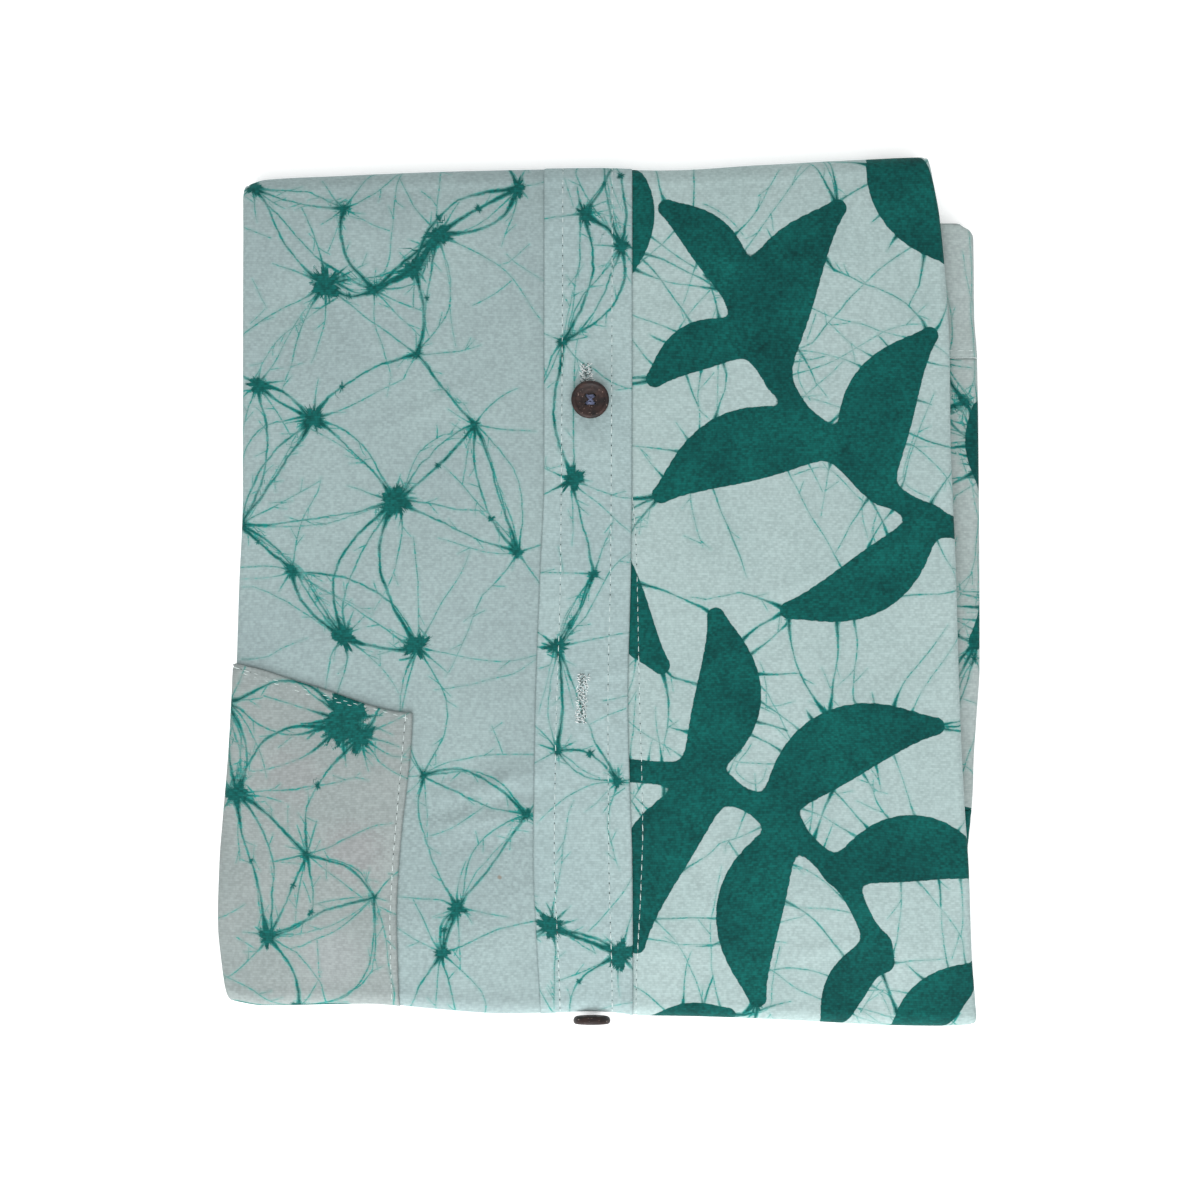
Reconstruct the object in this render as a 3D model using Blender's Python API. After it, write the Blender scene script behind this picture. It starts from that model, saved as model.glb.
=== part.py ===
"""A short-sleeved batik shirt, folded in three and lying flat.

The middle third is on top. At the low end (-Y) the cloth turns under into the shoulder third, and at the
high end (+Y) it turns under into the tail third, which lies on the table. The sides are turned under too,
so each front is a wall that runs round both ends and round its own long edge.

Lengths in this file are millimetres. The meshes are written in metres, +Z up, resting on z = 0.
"""

import math

import bpy
import numpy as np

MM = 0.001

# Cloth
WALL = 1.0                 # thickness of one wall of cloth
GAP = 0.3                  # between neighbouring pieces
YOKE_PROUD = 0.2           # the yoke's turned edge stands above the back
SIDE_ROLL = 2.25           # radius of the rolled long edges
SIDE_DEPTH = 2 * SIDE_ROLL # depth of a third at its rolled edge
TURN_UNDER = 18.0          # how far the rolled edges reach back under
PLACKET_LIFT = GAP + WALL  # placket face above the fronts
BAND_RAMP = 4.5            # over which the layers beside the placket step back into place
TAIL_TUCK = 1.2            # the tail's left edge lies this far inside the top third's

# Folded ends: the outer radius is half the height there
LOW_END_RADIUS = 5.5
HIGH_END_RADIUS = 6.5

# Folded lengths along Y
TAIL_HEM_Y = -59.0
CHEST_END_Y = -93.3
SHOULDER_LINE_Y = 122.0
YOKE_SEAM_Y = 77.5
SLEEVE_SEAM_Y = -72.3
RUN_LOW_Y = -136.0         # nominal ends of the flat run between the two folded ends
RUN_HIGH_Y = 134.0

# Buttons
BUTTON_RADIUS = 6.2
BUTTON_THICKNESS = 2.6
BUTTON_RIM = 1.5
BUTTON_DISH = 0.7
THREAD_HOLE_RADIUS = 0.7
THREAD_HOLE_SPACING = 2.7
UPPER_BUTTON = (-3.2, 62.8)
FOLD_BUTTON_X = -2.7
FOLD_BUTTON_TILT = math.radians(80)  # from lying flat
BUTTON_SEGMENTS = 28

# Height of the top surface: y, z
TOP_HEIGHT = (
    (RUN_LOW_Y, 2 * LOW_END_RADIUS),
    (-128.0, 11.6),
    (-112.0, 13.0),
    (-86.0, 13.9),
    (-50.0, 14.4),
    (20.0, 14.6),
    (80.0, 14.5),
    (118.0, 14.3),
    (129.0, 13.6),
    (RUN_HIGH_Y, 2 * HIGH_END_RADIUS),
)

# Middle height of the shoulder third, which climbs from the table over the tail hem: y, z
SHOULDER_HEIGHT = ((-88.0, 2.4), (-80.0, 3.2), (-68.0, 6.1), (-61.0, 7.1), (0.0, 7.1), (SHOULDER_LINE_Y, 7.1))

# Outline of the top third: y, x
LEFT_EDGE = (
    (134.0, -117.9),
    (116.0, -117.5),
    (34.0, -117.5),
    (1.0, -118.8),
    (-24.0, -119.6),
    (-57.0, -121.4),
    (-74.0, -122.9),
    (-90.0, -124.2),
    (-111.0, -124.9),
    (-125.0, -123.9),
    (-137.0, -122.7),
)
RIGHT_EDGE = (
    (144.0, 109.0),
    (123.0, 111.9),
    (101.0, 113.9),
    (79.0, 115.1),
    (51.0, 115.4),
    (9.0, 117.1),
    (-41.0, 118.6),
    (-71.0, 120.1),
    (-90.0, 121.4),
    (-120.0, 122.8),
    (-137.0, 124.4),
    (-144.0, 125.0),
)

# Right edge of the tail third underneath: y, x
TAIL_RIGHT_EDGE = ((138.0, 109.6), (110.0, 115.0), (60.0, 119.0), (-20.0, 120.5), (TAIL_HEM_Y, 119.0))

# Right edge of the shoulder third, which shows beside the top third: y, x
SHOULDER_RIGHT_EDGE = (
    (122.0, 119.5),
    (120.0, 122.6),
    (117.5, 123.8),
    (92.0, 124.1),
    (75.0, 125.3),
    (50.0, 125.7),
    (-24.0, 126.1),
    (-41.0, 125.1),
    (-57.0, 124.1),
    (-74.0, 123.8),
    (-95.0, 122.7),
)

# Folded ends seen from above: x, y
HIGH_FOLD = (
    (-118.0, 135.2),
    (-111.0, 137.0),
    (-85.0, 138.3),
    (-45.0, 139.9),
    (0.0, 140.6),
    (20.0, 140.1),
    (54.0, 141.9),
    (86.0, 143.6),
    (108.0, 144.4),
    (126.0, 144.4),
)
LOW_FOLD = (
    (-126.0, -135.3),
    (-111.0, -137.3),
    (-78.0, -136.7),
    (-59.0, -138.3),
    (-32.0, -140.2),
    (-20.0, -140.0),
    (-12.0, -139.4),
    (-3.0, -139.1),
    (6.0, -139.6),
    (13.0, -140.8),
    (34.0, -141.2),
    (67.0, -142.6),
    (100.0, -144.2),
    (113.0, -144.4),
    (126.0, -143.9),
)

# Placket: y, left x, right x
PLACKET = (
    (145.0, -18.4, 10.6),
    (37.0, -18.4, 10.5),
    (10.0, -19.5, 10.2),
    (-36.0, -21.2, 9.2),
    (-66.0, -21.7, 9.9),
    (-88.0, -21.9, 10.6),
    (-110.0, -21.1, 10.8),
    (-145.0, -19.6, 10.9),
)

# Pocket: its slanted bottom, x, y, and its inner side, y, x
POCKET_BOTTOM = ((-126.0, -22.3), (-118.0, -24.2), (-94.3, -30.9), (-61.4, -39.5))
POCKET_SIDE = ((-39.5, -61.4), (-88.0, -65.8), (-108.0, -66.8), (-140.0, -66.3))
POCKET_MOUTH_ANGLE = math.radians(70)

# Soft ridges (+) and troughs (-) of the top surface: x, y, direction in degrees, length, width, height
CREASES = (
    (-42.0, -72.0, 35.0, 46.0, 9.0, 0.5),
    (1.0, -31.0, 80.0, 30.0, 8.0, 0.35),
    (-70.0, 72.0, 120.0, 70.0, 16.0, -0.35),
    (-62.0, 8.0, 20.0, 60.0, 14.0, 0.3),
    (62.0, 40.0, 100.0, 80.0, 15.0, 0.3),
    (48.0, -64.0, 60.0, 54.0, 12.0, -0.35),
    (84.0, -104.0, 25.0, 44.0, 11.0, 0.35),
)

# The lower layers share these sections, closer together where the shoulder third climbs: y
LAYER_SECTIONS = (
    -120, -105, -92, -88, -84, -80, -76, -72, -68, -64.5, -61, -45, -25, 0, 25, 50, 75, 95, 112, 125,
)

# Sections along each run
TAIL_SECTIONS = 7
TOP_SECTIONS = 19
CHEST_SECTIONS = 3
END_SEGMENTS = 7
ROLL_SEGMENTS = 5


def remove_everything():
    for item in list(bpy.data.objects):
        bpy.data.objects.remove(item, do_unlink=True)


def smooth_curve(table, position, column=1):
    """Value of a table's column at a position, on a curve through its rows that adds no waves."""
    rows = sorted(table)
    keys = np.array([row[0] for row in rows], dtype=float)
    values = np.array([row[column] for row in rows], dtype=float)
    steps = np.diff(keys)
    slopes = np.diff(values) / steps
    tangents = np.zeros(len(keys))
    for i in range(1, len(keys) - 1):
        if slopes[i - 1] * slopes[i] > 0:
            before = 2 * steps[i] + steps[i - 1]
            after = steps[i] + 2 * steps[i - 1]
            tangents[i] = (before + after) / (before / slopes[i - 1] + after / slopes[i])
    place = np.clip(np.asarray(position, dtype=float), keys[0], keys[-1])
    index = np.clip(np.searchsorted(keys, place) - 1, 0, len(steps) - 1)
    step = steps[index]
    t = (place - keys[index]) / step
    return (
        values[index] * (1 + 2 * t) * (1 - t) ** 2
        + tangents[index] * step * t * (1 - t) ** 2
        + values[index + 1] * t * t * (3 - 2 * t)
        + tangents[index + 1] * step * t * t * (t - 1)
    )


def smooth_step(t):
    t = np.clip(t, 0.0, 1.0)
    return t * t * (3 - 2 * t)


def nominal_fraction(y):
    """Fraction along the flat run, 0 at the low end and 1 at the high end."""
    return (y - RUN_LOW_Y) / (RUN_HIGH_Y - RUN_LOW_Y)


def nominal_y(fraction):
    return RUN_LOW_Y + fraction * (RUN_HIGH_Y - RUN_LOW_Y)


def run_y(x, fraction):
    """Y of a point of the flat run. The folded ends slant a little, so it depends on x."""
    low = smooth_curve(LOW_FOLD, x) + LOW_END_RADIUS
    high = smooth_curve(HIGH_FOLD, x) - HIGH_END_RADIUS
    return low + fraction * (high - low)


def fraction_at(x, y):
    """The fraction along the flat run of a point seen at x, y."""
    low, high = float(run_y(x, 0.0)), float(run_y(x, 1.0))
    return (y - low) / (high - low)


def relief(x, y):
    """Height that the soft creases add to the top surface."""
    height = 0.0
    for middle_x, middle_y, direction, length, width, rise in CREASES:
        cosine, sine = math.cos(math.radians(direction)), math.sin(math.radians(direction))
        along = (x - middle_x) * cosine + (y - middle_y) * sine
        across = (y - middle_y) * cosine - (x - middle_x) * sine
        height += rise * math.exp(-((2 * along / length) ** 2) - (across / width) ** 2)
    return height


def place(station, x, offset, underside_shift=0.0):
    """Point of the folded cloth: a station along the fold, x across it, and an offset out of the surface.

    underside_shift is how far the layers step inwards underneath, so that the outermost lies on the table.
    """
    kind, t = station
    if kind in ("tail", "chest"):
        return (x, float(run_y(x, t)), -(offset - underside_shift))
    if kind == "top":
        y = float(run_y(x, t))
        return (x, y, float(smooth_curve(TOP_HEIGHT, nominal_y(t))) + relief(x, y) + offset)
    underneath = float(1 - smooth_step(t / (math.pi / 2)))
    outwards = offset - underside_shift * underneath
    if kind == "high end":
        radius = HIGH_END_RADIUS
        middle = float(smooth_curve(HIGH_FOLD, x)) - radius
        return (x, middle + (radius + outwards) * math.sin(t), radius - (radius + outwards) * math.cos(t))
    radius = LOW_END_RADIUS
    middle = float(smooth_curve(LOW_FOLD, x)) + radius
    return (x, middle - (radius + outwards) * math.sin(t), radius - (radius + outwards) * math.cos(t))


def station_y(station, x):
    """Y of the outer surface at a station."""
    kind, t = station
    if kind == "high end":
        return float(run_y(x, 1.0)) + HIGH_END_RADIUS * math.sin(t)
    if kind == "low end":
        return float(run_y(x, 0.0)) - LOW_END_RADIUS * math.sin(t)
    return float(run_y(x, t))


def whole_fold():
    """Stations from the tail hem, round the high end, over the top, round the low end, to the chest."""
    half_turn = np.linspace(0, math.pi, END_SEGMENTS + 1)
    stations = [("tail", t) for t in np.linspace(nominal_fraction(TAIL_HEM_Y), 1, TAIL_SECTIONS)[:-1]]
    stations += [("high end", t) for t in half_turn[:-1]]
    stations += [("top", t) for t in np.linspace(1, 0, TOP_SECTIONS)[:-1]]
    stations += [("low end", t) for t in half_turn[::-1][:-1]]
    stations += [("chest", t) for t in np.linspace(0, nominal_fraction(CHEST_END_Y), CHEST_SECTIONS)]
    return stations


def material(name, colour, roughness):
    made = bpy.data.materials.new(name)
    made.use_nodes = True
    shader = made.node_tree.nodes["Principled BSDF"]
    shader.inputs["Base Color"].default_value = (*colour, 1.0)
    shader.inputs["Roughness"].default_value = roughness
    shader.inputs["Metallic"].default_value = 0.0
    return made


def new_object(name, points, faces, finish):
    mesh = bpy.data.meshes.new(name)
    mesh.from_pydata([tuple(value * MM for value in point) for point in points], [], faces)
    mesh.materials.append(finish)
    mesh.validate()
    made = bpy.data.objects.new(name, mesh)
    bpy.context.collection.objects.link(made)
    mesh.shade_smooth()
    mesh.set_sharp_from_angle(angle=math.radians(50))
    return made


def wall(name, outer, inner, finish):
    """A closed wall between two grids of points, outer and inner, each rows of equal length."""
    rows, columns = len(outer), len(outer[0])
    points = [point for row in outer for point in row] + [point for row in inner for point in row]
    half = rows * columns
    faces = []
    for i in range(rows - 1):
        for j in range(columns - 1):
            a, b = i * columns + j, i * columns + j + 1
            c, d = b + columns, a + columns
            faces.append((a, b, c, d))
            faces.append((half + d, half + c, half + b, half + a))
    for i in range(rows - 1):
        first, last = i * columns, i * columns + columns - 1
        faces.append((first, first + columns, half + first + columns, half + first))
        faces.append((last + columns, last, half + last, half + last + columns))
    for j in range(columns - 1):
        start, end = j, (rows - 1) * columns + j
        faces.append((start + 1, start, half + start, half + start + 1))
        faces.append((end, end + 1, half + end + 1, half + end))
    made = new_object(name, points, faces, finish)
    if signed_volume(made.data) < 0:
        made.data.flip_normals()
    return made


def signed_volume(mesh):
    mesh.calc_loop_triangles()
    total = 0.0
    for triangle in mesh.loop_triangles:
        a, b, c = (mesh.vertices[i].co for i in triangle.vertices)
        total += a.dot(b.cross(c)) / 6
    return total


def rolled_edge(edge, side, reach, offset):
    """Columns of a rolled long edge, from the panel round to its far end underneath: x, offset.

    side is -1 for the left edge and 1 for the right one; reach is how far it goes back underneath.
    """
    middle = edge - side * SIDE_ROLL
    radius = SIDE_ROLL + offset
    columns = []
    for i in range(ROLL_SEGMENTS + 1):
        angle = math.pi * i / ROLL_SEGMENTS
        columns.append((middle + side * radius * math.sin(angle), radius * math.cos(angle) - SIDE_ROLL))
    if reach > 0:
        columns.append((middle - side * reach, -SIDE_DEPTH - offset))
    return columns


def corner_pull(station):
    """The long edges draw in a little where they go round a folded end."""
    kind, t = station
    return 1.4 * math.sin(t) ** 2 if kind in ("high end", "low end") else 0.0


def left_edge(station):
    kind, t = station
    tuck = TAIL_TUCK * float(smooth_step((1 - t) / 0.15)) if kind == "tail" else 0.0
    return float(smooth_curve(LEFT_EDGE, station_y(station, LEFT_EDGE[3][1]))) + corner_pull(station) + tuck


def right_edge(station):
    table = TAIL_RIGHT_EDGE if station[0] == "tail" else RIGHT_EDGE
    return float(smooth_curve(table, station_y(station, table[3][1]))) - corner_pull(station)


def placket_edges(station):
    y = station_y(station, PLACKET[0][1])
    return float(smooth_curve(PLACKET, y, 1)), float(smooth_curve(PLACKET, y, 2))


def left_front_columns(station, offset):
    """x, offset and underside shift of the left front's columns, from its hidden edge to the placket."""
    edge = left_edge(station)
    band_left, band_right = placket_edges(station)
    roll = [(x, n, 0.0) for x, n in rolled_edge(edge, -1, TURN_UNDER, offset)][::-1]
    panel = [(x, offset, 0.0) for x in np.linspace(edge + SIDE_ROLL, band_left - BAND_RAMP, 8)[1:]]
    under_band = [
        (band_left, offset, PLACKET_LIFT),
        ((band_left + band_right) / 2, offset, PLACKET_LIFT),
        (band_right - 7.0, offset, PLACKET_LIFT),
    ]
    return roll + panel + under_band


def right_front_columns(station, offset):
    """The same for the right front, whose edge lies under the left front and the placket."""
    edge = right_edge(station)
    band_left, band_right = placket_edges(station)
    below = offset - PLACKET_LIFT
    under_band = [
        (band_left + 3.0, below, PLACKET_LIFT),
        ((band_left + band_right) / 2, below, PLACKET_LIFT),
        (band_right - 6.5, below, PLACKET_LIFT),
        (band_right - 1.0, offset, PLACKET_LIFT),
        (band_right + 0.3, offset, PLACKET_LIFT),
    ]
    panel = [(x, offset, 0.0) for x in np.linspace(band_right + BAND_RAMP, edge - SIDE_ROLL, 8)[:-1]]
    roll = [(x, n, 0.0) for x, n in rolled_edge(edge, 1, TURN_UNDER, offset)]
    return under_band + panel + roll


def swept(stations, columns, offset):
    return [[place(s, x, n, shift) for x, n, shift in columns(s, offset)] for s in stations]


def make_front(name, columns, finish):
    stations = whole_fold()
    return wall(name, swept(stations, columns, 0.0), swept(stations, columns, -WALL), finish)


def placket_columns(station, offset):
    band_left, band_right = placket_edges(station)
    return [(x, offset, PLACKET_LIFT) for x in np.linspace(band_left, band_right, 5)]


def make_placket(finish):
    stations = whole_fold()
    return wall(
        "placket",
        swept(stations, placket_columns, GAP + WALL),
        swept(stations, placket_columns, GAP),
        finish,
    )


def pocket_grid(offset):
    """The pocket's points: from its inner side round the left edge, and from its bottom to its mouth."""
    rows = []
    for step in np.linspace(0, 1, 8):
        rows.append(("top", step))
    for angle in np.linspace(math.pi, math.pi - POCKET_MOUTH_ANGLE, 4)[1:]:
        rows.append(("low end", angle))
    grid = []
    for kind, t in rows:
        line = []
        for column in range(11):
            line.append(pocket_point(kind, t, column, offset))
        grid.append(line)
    return grid


def pocket_point(kind, t, column, offset):
    """One point. Columns 0 to 4 cross the panel, 5 to 10 go round the rolled left edge."""
    across = min(column / 5, 1.0)
    bottom_x = (1 - across) * POCKET_SIDE[0][1] + across * (-119.0)
    bottom_y = float(smooth_curve(POCKET_BOTTOM, bottom_x))
    if kind == "top":
        station = ("top", (1 - t) * fraction_at(bottom_x, bottom_y))
    else:
        station = (kind, t)
    edge = left_edge(station)
    side = float(smooth_curve(POCKET_SIDE, station_y(station, POCKET_SIDE[0][1])))
    if column <= 5:
        x = side + across * (edge + SIDE_ROLL - side)
        return place(station, x, offset)
    x, n = rolled_edge(edge, -1, 0, offset)[column - 5]
    return place(station, x, n)


def make_pocket(finish):
    return wall("pocket", pocket_grid(GAP + WALL), pocket_grid(GAP), finish)


def layer_sections(low, high):
    """Fractions from low to high, through the sections that the lower layers share."""
    least = 1.5 / (RUN_HIGH_Y - RUN_LOW_Y)
    shared = [nominal_fraction(y) for y in LAYER_SECTIONS]
    return [low] + [t for t in shared if low + least < t < high - least] + [high]


def shoulder_right_edge(t):
    return float(smooth_curve(SHOULDER_RIGHT_EDGE, run_y(SHOULDER_RIGHT_EDGE[3][1], t)))


def shoulder_height(t):
    return float(smooth_curve(SHOULDER_HEIGHT, nominal_y(t)))


def shoulder_grid(fractions, offset):
    """The rolled edge of the shoulder third on the right, between two seams."""
    grid = []
    for t in fractions:
        height = shoulder_height(t)
        roll = rolled_edge(shoulder_right_edge(t), 1, TURN_UNDER, offset)
        columns = [(x, height + SIDE_ROLL + n) for x, n in roll]
        columns.insert(0, (columns[-1][0], height + SIDE_ROLL + offset))
        grid.append([(x, float(run_y(x, t)), z) for x, z in columns])
    return grid


def make_shoulder_pieces(cloth, green):
    """Yoke, back and sleeve, end to end along the rolled edge with a gap at each seam."""
    edge_x = SHOULDER_RIGHT_EDGE[3][1]
    gap = GAP / (RUN_HIGH_Y - RUN_LOW_Y)
    start = nominal_fraction(CHEST_END_Y) + gap
    sleeve_seam = fraction_at(edge_x, SLEEVE_SEAM_Y)
    yoke_seam = fraction_at(edge_x, YOKE_SEAM_Y)
    end = fraction_at(edge_x, SHOULDER_LINE_Y)
    pieces = (
        ("yoke", layer_sections(yoke_seam + gap / 2, end), YOKE_PROUD, cloth),
        ("back", layer_sections(sleeve_seam + gap / 2, yoke_seam - gap / 2), 0.0, cloth),
        ("sleeve", layer_sections(start, sleeve_seam - gap / 2), 0.0, green),
    )
    for name, fractions, proud, finish in pieces:
        wall(name, shoulder_grid(fractions, proud), shoulder_grid(fractions, -WALL), finish)


def layer(name, sizes, finish):
    """A flat layer with rounded long edges, stepped inwards where the placket's layers need room.

    sizes holds the fractions of its sections; left, right, low and high as functions of the fraction; and how
    far its low and high faces step where the placket passes.
    """
    left, right, low, high = sizes["left"], sizes["right"], sizes["low"], sizes["high"]
    rim = ((0.0, 0.4), (0.35, 0.8), (1.0, 1.0))
    top, bottom = [], []
    for t in sizes["sections"]:
        middle, half = (low(t) + high(t)) / 2, (high(t) - low(t)) / 2
        inset = min(half, 2.0)
        band_left, band_right = placket_edges(("top", t))
        columns = [(left(t) + inset * out, share, 0.0) for out, share in rim]
        if left(t) < band_left - BAND_RAMP:
            columns += [(band_left - BAND_RAMP, 1.0, 0.0), (band_left, 1.0, 1.0)]
            columns += [(band_right, 1.0, 1.0), (band_right + BAND_RAMP, 1.0, 0.0)]
        columns += [(right(t) - inset * out, share, 0.0) for out, share in rim[::-1]]
        for grid, side, step in ((top, 1, sizes["high_step"]), (bottom, -1, sizes["low_step"])):
            grid.append([
                (x, float(run_y(x, t)), middle + side * half * share + step * stepped)
                for x, share, stepped in columns
            ])
    return wall(name, top, bottom, finish)


def hidden_layer_sizes():
    """The layers that are folded away, each lying clear of the cloth round it."""
    cover = WALL + GAP
    inside_roll = cover + 0.5
    beside_roll = SIDE_ROLL + TURN_UNDER + GAP + 1.0
    crease_room = -min(crease[-1] for crease in CREASES)
    end = 0.012
    hem = nominal_fraction(TAIL_HEM_Y)
    chest = nominal_fraction(CHEST_END_Y)
    shoulder_start = nominal_fraction(CHEST_END_Y + 2.5)
    shoulder_line = fraction_at(SHOULDER_RIGHT_EDGE[3][1], SHOULDER_LINE_Y)

    def left(kind, inset):
        return lambda t: left_edge((kind, t)) + inset

    def right(kind, inset):
        return lambda t: right_edge((kind, t)) - inset

    def shoulder_right(inset):
        return lambda t: shoulder_right_edge(t) - inset

    def level(z):
        return lambda t: z

    def below_top(depth):
        return lambda t: float(smooth_curve(TOP_HEIGHT, nominal_y(t))) - depth

    def about_shoulder(rise):
        return lambda t: shoulder_height(t) + rise

    def trunk_underside(t):
        return max(shoulder_height(t) - SIDE_ROLL + cover, cover + 2 * PLACKET_LIFT)

    def spread(low, high, count):
        return np.linspace(low, high, count)

    def sizes(sections, left_side, right_side, low, high, low_step=0.0, high_step=0.0):
        return {
            "sections": sections,
            "left": left_side,
            "right": right_side,
            "low": low,
            "high": high,
            "low_step": low_step,
            "high_step": high_step,
        }

    up, down = 2 * PLACKET_LIFT, -PLACKET_LIFT
    inner_left, inner_right = left("top", beside_roll), right("top", beside_roll + 4)
    tail, folded_chest = spread(hem + end, 1 - end, 10), spread(end, chest - end, 5)
    under_top = below_top(cover + crease_room)
    return {
        "trunk": sizes(
            layer_sections(end, 1 - end), inner_left, inner_right, trunk_underside, under_top, 0.0, down),
        "top_third": sizes(
            spread(end, 1 - end, 14), left("top", inside_roll), right("top", inside_roll),
            below_top(SIDE_DEPTH - cover - GAP), under_top, down, down),
        "tail_edges": sizes(
            tail, left("tail", inside_roll), right("tail", inside_roll),
            level(cover), level(SIDE_DEPTH - cover), up, up),
        "tail_third": sizes(tail, inner_left, inner_right, level(cover), level(SIDE_DEPTH + GAP), up, up),
        "chest_edges": sizes(
            folded_chest, left("chest", inside_roll), right("chest", inside_roll),
            level(cover), level(SIDE_DEPTH - cover), up, up),
        "chest": sizes(
            folded_chest, inner_left, inner_right, level(cover), level(SIDE_DEPTH + 2 * GAP), up, up),
        "shoulder_third": sizes(
            layer_sections(shoulder_start, shoulder_line),
            left("top", 1.8), shoulder_right(SIDE_ROLL + TURN_UNDER + 2 * GAP),
            about_shoulder(-SIDE_ROLL), about_shoulder(SIDE_ROLL)),
        "shoulder_edge": sizes(
            layer_sections(shoulder_start + end, shoulder_line - 3 * end),
            right("top", 40.0), shoulder_right(inside_roll),
            about_shoulder(cover - SIDE_ROLL), about_shoulder(SIDE_ROLL - cover)),
        "sleeves_inside": sizes(
            spread(end, chest - end, 6), left("top", 2.5), right("top", 2.5),
            level(SIDE_DEPTH + GAP), below_top(SIDE_DEPTH + GAP)),
        "collar_inside": sizes(
            spread(shoulder_line + end / 2, 1 - end, 4), left("top", 3.0), right("top", 3.0),
            level(SIDE_DEPTH + GAP), below_top(SIDE_DEPTH + GAP)),
    }


def make_hidden_layers(finish):
    """Everything folded away, as one solid whose layers show at the edges."""
    made = [layer(name, sizes, finish) for name, sizes in hidden_layer_sizes().items()]
    whole = made[0]
    whole.name = "hidden_layers"
    for guide in made[1:]:
        guide.display_type = "WIRE"
        guide.hide_render = True
        union = whole.modifiers.new(guide.name, "BOOLEAN")
        union.operation = "UNION"
        union.solver = "EXACT"
        union.object = guide
    return whole


def button_profile():
    """Radius and height of a button's turned shape, from the middle of its back to the middle of its face."""
    face = BUTTON_THICKNESS
    return (
        (BUTTON_RADIUS - 1.2, 0.0),
        (BUTTON_RADIUS - 0.2, 0.5),
        (BUTTON_RADIUS, face / 2),
        (BUTTON_RADIUS - 0.3, face - 0.4),
        (BUTTON_RADIUS - 0.8, face),
        (BUTTON_RADIUS - BUTTON_RIM, face - 0.1),
        (BUTTON_RADIUS - BUTTON_RIM - 0.7, face - BUTTON_DISH),
    )


def make_button(name, finish):
    """A four-hole button, its back on z = 0 of its own frame."""
    profile = button_profile()
    points, faces = [], []
    for radius, height in profile:
        for i in range(BUTTON_SEGMENTS):
            angle = 2 * math.pi * i / BUTTON_SEGMENTS
            points.append((radius * math.cos(angle), radius * math.sin(angle), height))
    for ring in range(len(profile) - 1):
        for i in range(BUTTON_SEGMENTS):
            a = ring * BUTTON_SEGMENTS + i
            b = ring * BUTTON_SEGMENTS + (i + 1) % BUTTON_SEGMENTS
            faces.append((a, b, b + BUTTON_SEGMENTS, a + BUTTON_SEGMENTS))
    faces.append(tuple(range(BUTTON_SEGMENTS))[::-1])
    top = (len(profile) - 1) * BUTTON_SEGMENTS
    faces.append(tuple(range(top, top + BUTTON_SEGMENTS)))
    button = new_object(name, points, faces, finish)
    for i in range(4):
        angle = math.pi / 4 + i * math.pi / 2
        reach = THREAD_HOLE_SPACING / math.sqrt(2)
        drill_hole(button, (reach * math.cos(angle), reach * math.sin(angle)))
    return button


def drill_hole(button, centre):
    sides = 8
    points, faces = [], []
    for height in (-1.0, BUTTON_THICKNESS + 1.0):
        for i in range(sides):
            angle = 2 * math.pi * i / sides
            points.append((
                centre[0] + THREAD_HOLE_RADIUS * math.cos(angle),
                centre[1] + THREAD_HOLE_RADIUS * math.sin(angle),
                height,
            ))
    for i in range(sides):
        following = (i + 1) % sides
        faces.append((i, following, following + sides, i + sides))
    faces.append(tuple(range(sides))[::-1])
    faces.append(tuple(range(sides, 2 * sides)))
    drill = new_object(button.name + "_drill", points, faces, button.data.materials[0])
    drill.display_type = "WIRE"
    drill.hide_render = True
    drill.parent = button
    cut = button.modifiers.new(drill.name, "BOOLEAN")
    cut.operation = "DIFFERENCE"
    cut.solver = "EXACT"
    cut.object = drill


def make_buttons(finish):
    upper = make_button("button_upper", finish)
    x, y = UPPER_BUTTON
    surface = float(smooth_curve(TOP_HEIGHT, y)) + relief(x, y) + PLACKET_LIFT
    upper.location = (x * MM, y * MM, (surface + GAP) * MM)
    standing = make_button("button_fold", finish)
    cloth_y = min(float(smooth_curve(LOW_FOLD, FOLD_BUTTON_X + side * BUTTON_RADIUS)) for side in (-1, 0, 1))
    reach = LOW_END_RADIUS + PLACKET_LIFT + GAP
    y = cloth_y + LOW_END_RADIUS - reach * math.sin(FOLD_BUTTON_TILT)
    z = LOW_END_RADIUS + reach * math.cos(FOLD_BUTTON_TILT)
    standing.location = (FOLD_BUTTON_X * MM, y * MM, z * MM)
    standing.rotation_euler = (FOLD_BUTTON_TILT, 0.0, 0.0)


def main():
    remove_everything()
    pale = material("pale_cotton", (0.35, 0.46, 0.45), 0.85)
    green = material("green_cotton", (0.01, 0.12, 0.11), 0.8)
    shell = material("coconut_shell", (0.022, 0.016, 0.014), 0.45)
    make_hidden_layers(pale)
    make_front("left_front", left_front_columns, pale)
    make_front("right_front", right_front_columns, pale)
    make_placket(pale)
    make_pocket(pale)
    make_shoulder_pieces(pale, green)
    make_buttons(shell)


main()
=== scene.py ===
import math
from functools import partial

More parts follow.
